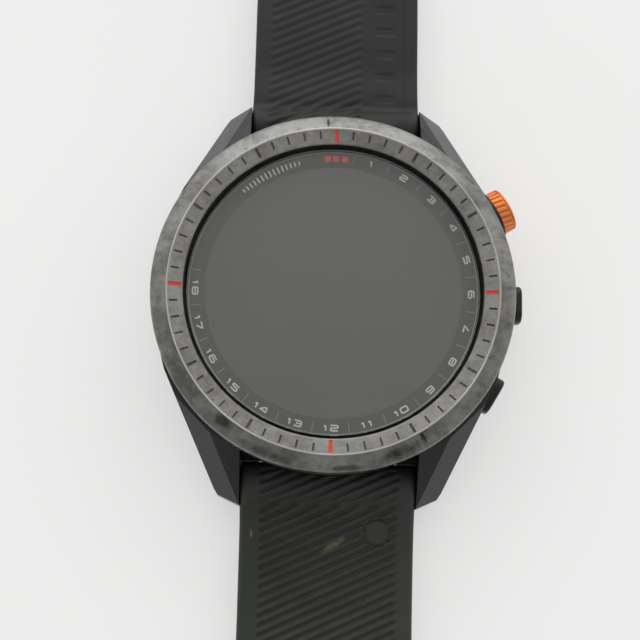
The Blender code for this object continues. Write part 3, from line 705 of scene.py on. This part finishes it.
def make_lens():
    profile = [(0.0, LENS_BOTTOM_Z), (LENS_RADIUS, LENS_BOTTOM_Z), (LENS_RADIUS, LENS_TOP_Z - 0.1),
               (LENS_RADIUS - 0.03, LENS_TOP_Z - 0.03), (LENS_RADIUS - 0.1, LENS_TOP_Z), (0.0, LENS_TOP_Z)]
    made = lathe(profile, 180, False)
    glass = place("cover_glass_disc", made, ("glass",), "case", "lens", "cover_glass", 20.0)
    glass.visible_shadow = False


def place_print(name, made, look):
    place(name, made, (look,), "case", None, "display_face")


def make_print_ring():
    """The printed band under the rim of the glass, and a thin pale ring at the ground edge of the glass, a
    painted highlight.
    """
    rim = LENS_RADIUS - 0.3
    profile = [(DISPLAY_RADIUS, FACE_Z - 0.3), (rim, FACE_Z - 0.3), (rim, FACE_Z), (DISPLAY_RADIUS, FACE_Z)]
    place_print("print_ring", lathe(profile, 180), "ring")
    inner, outer = LENS_RADIUS - 0.29, LENS_RADIUS - 0.12
    edge = [(inner, FACE_Z - 0.04), (outer, FACE_Z - 0.04), (outer, FACE_Z), (inner, FACE_Z)]
    place_print("glass_edge_painted_highlight", lathe(edge, 180), "faint")


def make_display():
    """The panel: a backing tray, and the active face bonded close under the glass."""
    profile = [(0.0, display_low.z), (DISPLAY_RADIUS, display_low.z), (DISPLAY_RADIUS, DISPLAY_TOP_Z - 0.1),
               (DISPLAY_RADIUS - 0.1, DISPLAY_TOP_Z), (DISPLAY_RADIUS - 0.01, DISPLAY_TOP_Z + 0.05),
               (DISPLAY_RADIUS - 0.01, FACE_Z), (0.0, FACE_Z)]
    made = lathe(profile, 144, False)
    place("display_disc", made, ("display",), "case", "display_panel", "display_face", 20.0)


DIGITS = {
    "0": [[(0, 0), (1, 0), (1, 1), (0, 1), (0, 0)]],
    "1": [[(0.1, 0.75), (0.55, 1), (0.55, 0)]],
    "2": [[(0, 1), (1, 1), (1, 0.5), (0, 0.5), (0, 0), (1, 0)]],
    "3": [[(0, 1), (1, 1), (1, 0), (0, 0)], [(0.25, 0.52), (1, 0.52)]],
    "4": [[(0.85, 0), (0.85, 1), (0.65, 1), (0, 0.35), (0, 0.25), (1.05, 0.25)]],
    "5": [[(1, 1), (0, 1), (0, 0.55), (1, 0.55), (1, 0), (0, 0)]],
    "6": [[(0.95, 1), (0, 1), (0, 0), (1, 0), (1, 0.55), (0, 0.55)]],
    "7": [[(0, 1), (1, 1), (0.35, 0)]],
    "8": [[(0, 0), (1, 0), (1, 1), (0, 1), (0, 0)], [(0, 0.52), (1, 0.52)]],
    "9": [[(0.05, 0), (1, 0), (1, 1), (0, 1), (0, 0.45), (1, 0.45)]],
}


def corners_of(path):
    """Whether a polyline is closed, and its corners without a repeat of the first."""
    closed = path[0] == path[-1] and len(path) > 2
    return closed, [Vector(point) for point in (path[:-1] if closed else path)]


def stroke(made, path, width, transform):
    """A flat polyline of even width with mitred corners, as a thin closed slab."""
    closed, points = corners_of(path)
    count = len(points)
    sides = []
    for index, point in enumerate(points):
        back = points[index - 1] if closed or index > 0 else None
        ahead = points[(index + 1) % count] if closed or index < count - 1 else None
        before = (point - back).normalized() if back is not None else (ahead - point).normalized()
        after = (ahead - point).normalized() if ahead is not None else before
        normal = Vector((-before.y - after.y, before.x + after.x)).normalized()
        square = Vector((-before.y, before.x))
        reach = width / 2 / max(0.5, normal.dot(square))
        sides.append((point + normal * reach, point - normal * reach))
    levels = []
    for height in (0.0, PRINT_THICKNESS):
        levels.append([[made.verts.new(transform @ Vector((side.x, side.y, height))) for side in pair]
                       for pair in sides])
    low, high = levels
    for index in range(count if closed else count - 1):
        after = (index + 1) % count
        made.faces.new((high[index][0], high[after][0], high[after][1], high[index][1]))
        made.faces.new((low[index][1], low[after][1], low[after][0], low[index][0]))
        made.faces.new((low[index][0], low[after][0], high[after][0], high[index][0]))
        made.faces.new((low[after][1], low[index][1], high[index][1], high[after][1]))
    if not closed:
        for index in (0, count - 1):
            made.faces.new((low[index][0], low[index][1], high[index][1], high[index][0]))


def round_corners(path, reach):
    """Replace every bend of a polyline with a short arc."""
    closed, points = corners_of(path)
    count = len(points)
    bent = []
    for index, point in enumerate(points):
        if not closed and index in (0, count - 1):
            bent.append(point)
            continue
        back = points[index - 1] - point
        ahead = points[(index + 1) % count] - point
        start = point + back.normalized() * min(reach, back.length * 0.45)
        end = point + ahead.normalized() * min(reach, ahead.length * 0.45)
        for step in range(5):
            share = step / 4
            bent.append(start.lerp(point, share).lerp(point.lerp(end, share), share))
    return bent + bent[:1] if closed else bent


def dial_place(angle, radius, outward=True):
    """Place flat print at a clock angle, with its top away from the centre or towards it."""
    turn = math.radians(90.0 - angle)
    spin = turn - math.pi / 2 + (0.0 if outward else math.pi)
    spot = Matrix.Translation((radius * math.cos(turn), radius * math.sin(turn), PRINT_Z))
    return spot @ Matrix.Rotation(spin, 4, "Z")


def make_numbers():
    """Hole numbers 1 to 18 in a wide stroke face."""
    made = bmesh.new()
    for hole in range(1, 19):
        text = str(hole)
        base = dial_place(hole * HOLE_STEP, NUMBER_RADIUS, hole <= LAST_OUTWARD_HOLE)
        tall = NUMBER_HEIGHT - NUMBER_STROKE
        widths = [ONE_WIDTH if digit == "1" else NUMBER_WIDTH for digit in text]
        total = sum(widths) + NUMBER_GAP * (len(text) - 1)
        cursor = -total / 2
        for digit, wide in zip(text, widths):
            for path in DIGITS[digit]:
                points = [(cursor + x * wide, (y - 0.5) * tall) for x, y in path]
                stroke(made, round_corners(points, NUMBER_BEND), NUMBER_STROKE, base)
            cursor += wide + NUMBER_GAP
    place_print("hole_numbers", made, "white")


def make_separators():
    """Fine radial lines between the hole numbers, and four dots at 10 o'clock."""
    made = bmesh.new()
    for step in range(19):
        base = dial_place((step + 0.5) * HOLE_STEP, NUMBER_RADIUS)
        stroke(made, [(0.0, -0.62), (0.0, 0.62)], 0.09, base)
    place_print("hole_lines", made, "faint")
    dots = bmesh.new()
    for angle in DOT_ANGLES:
        base = dial_place(angle, NUMBER_RADIUS)
        stroke(dots, [(0.0, -0.07), (0.0, 0.07)], 0.14, base)
    place_print("dial_dots", dots, "faint")


def make_dial_motif():
    """Plain bars of changing length where a name would be, and a small red bar at 12 o'clock."""
    made = bmesh.new()
    for step in range(BAR_COUNT):
        base = dial_place(BAR_START + step * BAR_STEP, NUMBER_RADIUS - 0.1)
        reach = 0.24 + 0.22 * math.sin(math.pi * (step + 0.5) / BAR_COUNT)
        stroke(made, [(0.0, -reach), (0.0, reach)], 0.2, base)
    place_print("dial_bars", made, "white")
    red = bmesh.new()
    for step in range(3):
        base = dial_place(-3.6 + step * 3.6, NUMBER_RADIUS)
        stroke(red, [(-0.4, 0.0), (0.4, 0.0)], 0.8, base)
    place_print("dial_red_bars", red, "red")


# -------- case and buttons

def make_case():
    """The case with softened edges; the recess round the band's ends is matt, with painted shade in a
    slightly darker tone.
    """
    case = refined("mid_case", "case_shell", ("case", "recess"), 0.16, "case", "case_polymer", 2, 32.0)
    inner_wall = 11.5 * MM
    recess_y = (BAR_Y - BARREL_RADIUS - 0.3) * MM
    for face in case.data.polygons:
        if abs(face.center.x) < inner_wall and abs(face.center.y) > recess_y:
            face.material_index = 1


def button_stack(name, levels, outline_of, looks, body, node, slot, angle):
    """Loft outlines along the button's axis and close both ends."""
    made = bmesh.new()
    lines = []
    for along, *shape in levels:
        lines.append([made.verts.new((x, y, along)) for x, y in outline_of(*shape)])
    loft(made, lines)
    return place(name, radial(made, angle), looks, body, node, slot, 32.0)


def knurl(radius, depth, slant, ridges=24, samples=10):
    """A circle with rounded ridges and narrow valleys, turned by a slant in ridge widths."""
    outline = []
    for step in range(ridges * samples):
        phase = (step / samples) % 1.0
        valley = smooth_step(1.0 - abs(phase - 0.5) / 0.26)
        turn = 2.0 * math.pi * (step / samples + slant) / ridges
        reach = radius - depth * valley
        outline.append((reach * math.cos(turn), reach * math.sin(turn)))
    return outline


def make_crown():
    """Slanted knurling, a fine groove near the rim and a shallow dished face."""
    foot = [(BUTTON_INNER + ahead, radius, depth, turned) for ahead, radius, depth, turned in
            ((0.0, 2.7, 0.0, 0.0), (0.1, 2.86, 0.0, 0.0), (0.22, 2.93, 0.0, 0.0),
             (0.35, 2.95, 0.05, 0.0), (0.5, 2.95, CROWN_DEPTH, 0.05))]
    body = []
    for step in range(7):
        share = step / 6
        along = BUTTON_INNER + 0.5 + (CROWN_OUTER - 0.62 - BUTTON_INNER - 0.5) * share
        body.append((along, 2.96, CROWN_DEPTH, 0.05 + CROWN_SLANT * share))
    turned = 0.05 + CROWN_SLANT
    rim = [(CROWN_OUTER - back, radius, depth, turned) for back, radius, depth in
           ((0.54, 2.95, 0.05), (0.5, 2.9, 0.0), (0.47, 2.8, 0.0), (0.37, 2.8, 0.0), (0.34, 2.9, 0.0),
            (0.28, 2.94, 0.0), (0.16, 2.92, 0.0), (0.06, 2.82, 0.0), (0.0, 2.66, 0.0), (0.0, 2.3, 0.0),
            (0.1, 2.2, 0.0))]
    crown = button_stack("crown_knurled", foot + body + rim, knurl, ("orange",), "crown", "crown_cap",
                         "orange_anodised", BUTTON_ANGLES["crown"])
    combine(crown, [radial(prism(circle(1.3, 24), 22.0, 24.3), BUTTON_ANGLES["crown"])], "DIFFERENCE")
    smooth_by_angle(crown, 32.0)


# A near-black collar round the crown's foot, a little wider than the crown: it stands for the crown's dark
# neck and the shade under its cap, so its tone is partly painted shade.
def make_crown_collar():
    profile = [(3.06, 22.4), (3.36, 22.4), (3.36, 24.55), (3.3, 24.75), (3.16, 24.8), (3.06, 24.7)]
    place("crown_shade_collar", radial(lathe(profile, 64), BUTTON_ANGLES["crown"]), ("collar",), "case", None,
          "black_polymer")


def make_side_button(name):
    """A rounded pusher with a full edge radius and a slightly crowned face."""
    levels = [(BUTTON_INNER, 0.0), (BUTTON_OUTER - 0.5, 0.0)]
    for step in range(1, 7):
        turn = math.radians(90.0 * step / 6)
        levels.append((BUTTON_OUTER - 0.5 + 0.42 * math.sin(turn), 0.42 * (1.0 - math.cos(turn))))
    levels += [(BUTTON_OUTER - 0.03, 0.8), (BUTTON_OUTER, 1.3)]

    def outline(inset):
        return rounded_outline(1.8 - inset, 2.5 - inset, max(0.1, 1.4 - inset), (0.0, 0.0), 8)

    body = f"{name}_button"
    button = button_stack(f"{body}_cap", levels, outline, ("button",), body, body, "black_metal",
                          BUTTON_ANGLES[name])
    stem = radial(prism(circle(1.0, 24), 19.3, 23.2), BUTTON_ANGLES[name])
    combine(button, [stem], "UNION")
    smooth_by_angle(button, 32.0)


# -------- band

def knots(value, table):
    """Read a smooth curve through (position, value) knots."""
    for (low, start), (high, end) in zip(table, table[1:]):
        if value <= high:
            return start + (end - start) * smooth_step((value - low) / (high - low))
    return table[-1][1]


def half_width(y):
    return knots(y, ((27.0, STRAP_LUG_HALF), (30.0, STRAP_HALF), (45.5, STRAP_HALF), (60.0, STRAP_END_HALF)))


def upper_bottom(y):
    return knots(y, ((BAR_Y, 1.5), (27.5, 2.0), (56.0, LIFT)))


def lower_bottom(y):
    return knots(y, ((BAR_Y, 1.5), (27.5, 2.0), (60.0, 0.0)))


def thickness(y):
    return knots(y, ((BAR_Y, 5.6), (28.0, 3.7), (34.0, 3.1), (60.0, END_THICKNESS)))


def strap_levels(bottom, y):
    """Underside and top of the band; its end is a barrel round the lug bar."""
    reach = math.sqrt(max(0.0, BARREL_RADIUS ** 2 - (y - BAR_Y) ** 2))
    if y < BAR_Y:
        return BAR_Z - reach, BAR_Z + reach
    return min(bottom(y), BAR_Z - reach), max(bottom(y) + thickness(y), BAR_Z + reach)


def groove(x, y, side, pitch):
    """Share of full depth of the slanted grooves at a point; they rise to the right on both halves."""
    phase = ((y * side - x * GROOVE_SLOPE) / pitch) % 1.0
    return smooth_step((0.36 - abs(phase - 0.5)) / 0.26)


def window(value, low, high, soft=0.25):
    """1 between low and high, easing to 0 over a soft edge."""
    return smooth_step((value - low) / soft) * smooth_step((high - value) / soft)


def lower_relief(x, y):
    """Grooves between smooth borders, around a plain round boss on the right."""
    half = half_width(y)
    sink = LOWER_GROOVE_DEPTH * groove(x, y, -1, LOWER_GROOVE_PITCH)
    sink *= window(x, 2.5 - half, half - 2.1) * window(y, PANEL_START, LOWER_PANEL_END)
    away = math.hypot(x - BOSS_CENTER[0], y - BOSS_CENTER[1])
    rim = 0.26 * smooth_step(1.0 - abs(away - BOSS_RADIUS - 0.2) / 0.26)
    flat = smooth_step((away - BOSS_RADIUS) / 0.15)
    return max(sink * flat, rim) - 0.08 * (1.0 - flat)


def upper_relief(x, y):
    """Grooves on the left, deeper near the case, and a smooth column between two fine lines on the right."""
    half = half_width(y)
    deeper = 2.4 - 1.4 * smooth_step((y - 26.0) / 3.0)
    sink = UPPER_GROOVE_DEPTH * groove(x, y, 1, UPPER_GROOVE_PITCH) * deeper
    inside = window(y, PANEL_START, UPPER_PANEL_END)
    sink *= window(x, 2.1 - half, 3.5) * inside
    lines = 0.0
    for edge in (4.1, half - 1.9):
        lines = max(lines, 0.14 * smooth_step(1.0 - abs(x - edge) / 0.16) * inside)
    bar = window((y / MOTIF_PITCH) % 1.0, 0.3, 0.7, 0.06) * window(x, 5.4, half - 3.2, 0.2)
    bar *= window(y, PANEL_START, MOTIF_END)
    return max(sink, lines, 0.09 * bar)


def strap_rows(end_y, panel_end, tip_round):
    rows = [BAR_Y - BARREL_RADIUS * math.cos(math.radians(2.5 * step)) for step in range(2, 37)]
    y = rows[-1] + STRAP_ROW
    while y < panel_end:
        rows.append(y)
        y += STRAP_ROW
    stop = end_y - tip_round
    steps = max(1, int((stop - panel_end) / 1.5))
    rows += [panel_end + (stop - panel_end) * step / steps for step in range(steps + 1)]
    return rows


def arc(center_x, center_z, radius, start, sweep, steps):
    """Points along a circular arc, in degrees."""
    points = []
    for step in range(steps + 1):
        turn = math.radians(start + sweep * step / steps)
        points.append((center_x + radius * math.cos(turn), center_z + radius * math.sin(turn)))
    return points


def strap_section(half, low, high, relief, y):
    """One cross-section: a soft-edged belly, rounded shoulders and the relief on top."""
    belly = min(0.5, 0.3 * (high - low))
    shoulder = min(0.8, 0.45 * (high - low))
    points = arc(belly - half, low + belly, belly, 180.0, 90.0, 3)
    points += arc(half - belly, low + belly, belly, 270.0, 90.0, 3)
    points += arc(half - shoulder, high - shoulder, shoulder, 0.0, 90.0, 5)
    inner = half - 0.9
    columns = 64
    for step in range(columns + 1):
        x = inner - 2.0 * inner * step / columns
        points.append((x, high - relief(x, y)))
    points += arc(shoulder - half, high - shoulder, shoulder, 90.0, 90.0, 5)
    return points


def strap_body(bottom, end_y, panel_end, tip_round, relief):
    made = bmesh.new()
    places = [(y, half_width(y)) for y in strap_rows(end_y, panel_end, tip_round)]
    if tip_round:
        for step in range(1, 13):
            turn = math.radians(75.0 * step / 12)
            y = end_y - tip_round + tip_round * math.sin(turn) / math.sin(math.radians(75.0))
            places.append((y, half_width(y) - tip_round * (1.0 - math.cos(turn))))
    lines = []
    for y, half in places:
        low, high = strap_levels(bottom, y)
        section = strap_section(half, low, high, relief, y)
        lines.append([made.verts.new((x, y, z)) for x, z in section])
    loft(made, lines)
    return made


def strap_cuts():
    """Room for the lug bar, the latch housing and the latch's travel, as in the CAD strap."""
    return [side_prism(circle(2.3, 32, (BAR_Y, BAR_Z)), -6.0, 6.0),
            block((-6.0, BAR_Y, 0.5), (6.0, 31.8, 4.7)),
            block((-6.0, 21.0, 0.5), (6.0, 34.9, 2.9)),
            block((-6.0, 21.0, 0.5), (6.0, BAR_Y, BAR_Z)),
            side_prism(circle(1.3, 24, (BAR_Y, BAR_Z)), -12.0, 12.0)]


def make_upper_strap():
    made = strap_body(upper_bottom, UPPER_END_Y, UPPER_PANEL_END + 0.5, 0.0, upper_relief)
    strap = place("upper_band_half", made, ("upper_silicone_painted_shade",), "upper_band", "upper_strap", "silicone")
    end_bar = (UPPER_END_Y, 2.75)
    combine(strap, [side_prism(circle(1.9, 40, end_bar), -STRAP_END_HALF, STRAP_END_HALF)], "UNION")
    combine(strap, strap_cuts() + [side_prism(circle(1.0, 24, end_bar), -12.0, 12.0),
                                   block((-1.7, 90.0, -1.0), (1.7, 100.0, 8.0))], "DIFFERENCE")
    smooth_by_angle(strap, 35.0)


def make_lower_strap():
    made = mirror_y(strap_body(lower_bottom, LOWER_END_Y, LOWER_PANEL_END + 0.5, 8.0, lower_relief))
    strap = place("lower_band_half", made, ("lower_silicone_painted_light",), "lower_band", "lower_strap", "silicone")
    holes = [prism(rounded_outline(2.0, 1.3, 1.0, (0.0, -(HOLE_FIRST_Y + HOLE_PITCH * number))), -1.0, 5.0)
             for number in range(HOLE_COUNT)]
    combine(strap, [mirror_y(tool) for tool in strap_cuts()] + holes, "DIFFERENCE")
    smooth_by_angle(strap, 35.0)


# -------- keepers, buckle and latches

def make_loop(name, node, body):
    """A moulded loop with soft edges and a shallow waist across its width."""
    low, high = box_mm(node)
    middle = (low.y + high.y) / 2
    half_wide = (high.y - low.y) / 2
    half_tall = (high.z - low.z) / 2
    levels = [(-half_wide, 0.42), (0.12 - half_wide, 0.2), (0.4 - half_wide, 0.02), (-0.9, 0.08), (0.0, 0.12),
              (0.9, 0.08), (half_wide - 0.4, 0.02), (half_wide - 0.12, 0.2), (half_wide, 0.42)]
    made = bmesh.new()
    lines = []
    for along, inset in levels:
        outline = rounded_outline(high.x - inset, half_tall - inset, 1.6 - inset, (0.0, half_tall), 8)
        lines.append([made.verts.new((x, middle + along, z)) for x, z in outline])
    bore = rounded_outline(STRAP_END_HALF + 0.45, 3.3, 0.6, (0.0, 4.5), 8)
    ends = [[made.verts.new((x, middle + along, z)) for x, z in bore] for along in (-half_wide, half_wide)]
    loft(made, lines, False)
    strip(made, ends[0], ends[1], True)
    strip(made, lines[0], ends[0], True)
    strip(made, lines[-1], ends[1], True)
    place(name, made, ("upper_silicone_painted_shade",), body, node, "silicone", 40.0)


def make_fittings():
    """Softened copies of the buckle, its tongue and the two quick-release latches."""
    refined("buckle_frame", "buckle_forged", ("dark_steel",), 0.4, "buckle", "dark_steel", 3, 35.0)
    refined("buckle_tongue", "tongue_bent", ("dark_steel",), 0.16, "tongue", "dark_steel", 2, 35.0)
    for side in ("upper", "lower"):
        latch, band = f"{side}_latch", f"{side}_band"
        refined(latch, f"{side}_slider", ("dark_steel",), 0.07, latch, "dark_steel", 2, 35.0)
        refined(f"{latch}_housing", f"{side}_hook", ("dark_steel",), 0.1, band, "dark_steel", 2, 35.0)


# -------- back of the watch

def make_back_cover():
    """The dished cover with one fine turned groove round the sensor and one near the rim."""
    cover = refined("back_cover", "back_plate", ("back",), 0.1, "case", "case_polymer", 2, 24.0)
    grooves = [[(11.2, -1.0), (11.5, -1.0), (11.5, 0.98), (11.2, 0.9)],
               [(19.75, -1.0), (19.95, -1.0), (19.95, 1.44), (19.75, 1.43)]]
    combine(cover, [lathe(profile, 120) for profile in grooves], "DIFFERENCE")
    smooth_by_angle(cover, 24.0)


def make_sensor_window():
    """A smoked dome with a turned step near its rim; the lamps and receivers show as inlaid windows."""
    radius = SENSOR_RADIUS
    profile = [(0.0, 0.0), (6.9, 0.0), (7.0, 0.05), (7.05, 0.16), (7.3, 0.16), (7.38, 0.04), (7.6, 0.06),
               (radius - 0.12, 0.16), (radius, 0.34), (radius, 1.9), (9.3, 1.9), (9.3, 2.6), (0.0, 2.6)]
    made = lathe(profile, 120, False)
    window_piece = place("sensor_dome", made, ("smoked",), "case", "sensor_window", "sensor_glass", 20.0)
    seats = [prism(rounded_outline(1.25, 0.85, 0.3, spot), -1.0, 0.05) for spot in SENSOR_LAMPS]
    seats += [prism(rounded_outline(0.85, 1.25, 0.3, spot), -1.0, 0.05) for spot in SENSOR_RECEIVERS]
    combine(window_piece, seats, "DIFFERENCE")
    smooth_by_angle(window_piece, 20.0)
    for name, look, spots, half_x, half_y in (("sensor_lamps", "emitter", SENSOR_LAMPS, 1.2, 0.8),
                                              ("sensor_receivers", "receiver", SENSOR_RECEIVERS, 0.8, 1.2)):
        made = bmesh.new()
        for spot in spots:
            prism(rounded_outline(half_x, half_y, 0.26, spot), 0.02, 0.06, made)
        place(name, made, (look,), "case", None, "sensor_glass")


def make_screws():
    """Six-lobed screw heads."""
    for number in range(1, 5):
        node = f"back_screw_{number}"
        low, high = box_mm(node)
        x, y = (low.x + high.x) / 2, (low.y + high.y) / 2
        radius = (high.x - low.x) / 2
        profile = [(0.0, 1.5), (0.7, 1.5), (0.7, 1.2), (radius - 0.12, 1.16), (radius - 0.03, 1.22),
                   (radius, 1.32), (radius, 1.6), (0.6, 1.62), (0.6, 5.6), (0.0, 6.0)]
        made = lathe(profile, 48, False)
        screw = place(f"lobed_screw_{number}", made, ("dark_steel",), "case", node, "dark_steel")
        lobes = []
        for lobe in range(6):
            turn = math.radians(60.0 * lobe)
            lobes.append(prism(circle(0.17, 12, (0.68 * math.cos(turn), 0.68 * math.sin(turn))), 0.5, 1.48))
        combine(screw, lobes, "DIFFERENCE")
        screw.data.transform(Matrix.Translation((x * MM, y * MM, 0.0)))
        smooth_by_angle(screw, 30.0)


# -------- stage

def make_floor():
    made = bmesh.new()
    side = FLOOR_HALF
    outline = ((-side, -side), (side, -side), (side, side), (-side, side))
    made.faces.new([made.verts.new((x, y, FLOOR_Z)) for x, y in outline])
    floor = place("floor", made, ("floor",), None)


def area_light(name, size_x, size_y, power, spot, aim):
    lamp = bpy.data.lights.new(name, "AREA")
    lamp.shape = "RECTANGLE"
    lamp.size = size_x
    lamp.size_y = size_y
    lamp.energy = power
    item = bpy.data.objects.new(name, lamp)
    bpy.context.scene.collection.objects.link(item)
    item.location = spot
    item.rotation_euler = (Vector(aim) - Vector(spot)).to_track_quat("-Z", "Y").to_euler()


def make_light():
    """A soft room that brightens beyond 12 o'clock, with one broad softbox there."""
    world = bpy.data.worlds.new("soft_room")
    bpy.context.scene.world = world
    world.use_nodes = True
    tree = world.node_tree
    back = tree.nodes["Background"]
    place = tree.nodes.new("ShaderNodeTexCoord").outputs["Generated"]
    split = tree.nodes.new("ShaderNodeSeparateXYZ")
    link(tree, place, split.inputs["Vector"])
    along = math_node(tree, "MULTIPLY_ADD", split.outputs["Y"], 0.5)
    along.node.inputs[2].default_value = 0.5
    link(tree, ramp(tree, along, ROOM_STOPS), back.inputs["Color"])
    back.inputs["Strength"].default_value = 1.0
    area_light("far_softbox", 1.4, 0.5, 3.0, (0.0, 1.05, 0.5), (0.0, 0.0, 0.0))


def make_camera():
    pitch, yaw, roll = (math.radians(angle) for angle in (VIEW_PITCH, VIEW_YAW, VIEW_ROLL))
    ahead = Vector((math.sin(yaw), math.sin(pitch), -math.cos(pitch) * math.cos(yaw))).normalized()
    right = ahead.cross(Vector((0, 1, 0))).normalized()
    up = right.cross(ahead)
    rolled_right = right * math.cos(roll) + up * math.sin(roll)
    rolled_up = up * math.cos(roll) - right * math.sin(roll)
    data = bpy.data.cameras.new("camera")
    data.lens = LENS_MM
    data.clip_start = 0.01
    data.clip_end = 10.0
    camera = bpy.data.objects.new("camera", data)
    bpy.context.scene.collection.objects.link(camera)
    turn = Matrix((rolled_right, rolled_up, -ahead)).transposed().to_4x4()
    camera.matrix_world = Matrix.Translation(Vector(EYE) * MM) @ turn
    bpy.context.scene.camera = camera
    bpy.context.scene.view_settings.view_transform = "Standard"


# -------- carried-over CAD nodes

NODE_LOOKS = {
    "black": ("display_frame", "port_insert"),
    "rubber": ("bezel_gasket", "lens_gasket", "back_gasket", "crown_seal", "middle_seal", "lower_seal"),
    "board": ("main_board", "sensor_board"),
    "foil": ("battery",),
    "film": ("display_flex",),
    "gold": ("gps_antenna", "port_pin_1", "port_pin_2", "port_pin_3", "port_pin_4"),
    "steel": ("shield_can", "vibration_motor", "crown_switch", "middle_switch", "lower_switch", "crown_stem"),
    "dark_steel": ("crown_bushing", "middle_bushing", "lower_bushing", "upper_lug_bar", "lower_lug_bar",
                   "buckle_bar"),
}


def dress_nodes():
    for look, nodes in NODE_LOOKS.items():
        for node in nodes:
            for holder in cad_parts[node].material_slots:
                holder.material = LOOKS[look]


make_camera()
make_light()
make_floor()
make_bezel()
make_lens()
make_print_ring()
make_display()
make_numbers()
make_separators()
make_dial_motif()
make_case()
make_crown()
make_crown_collar()
make_side_button("middle")
make_side_button("lower")
make_upper_strap()
make_lower_strap()
make_loop("sliding_loop", "sliding_keeper", "sliding_keeper")
make_loop("fixed_loop", "fixed_keeper", "upper_band")
make_fittings()
make_back_cover()
make_sensor_window()
make_screws()
dress_nodes()
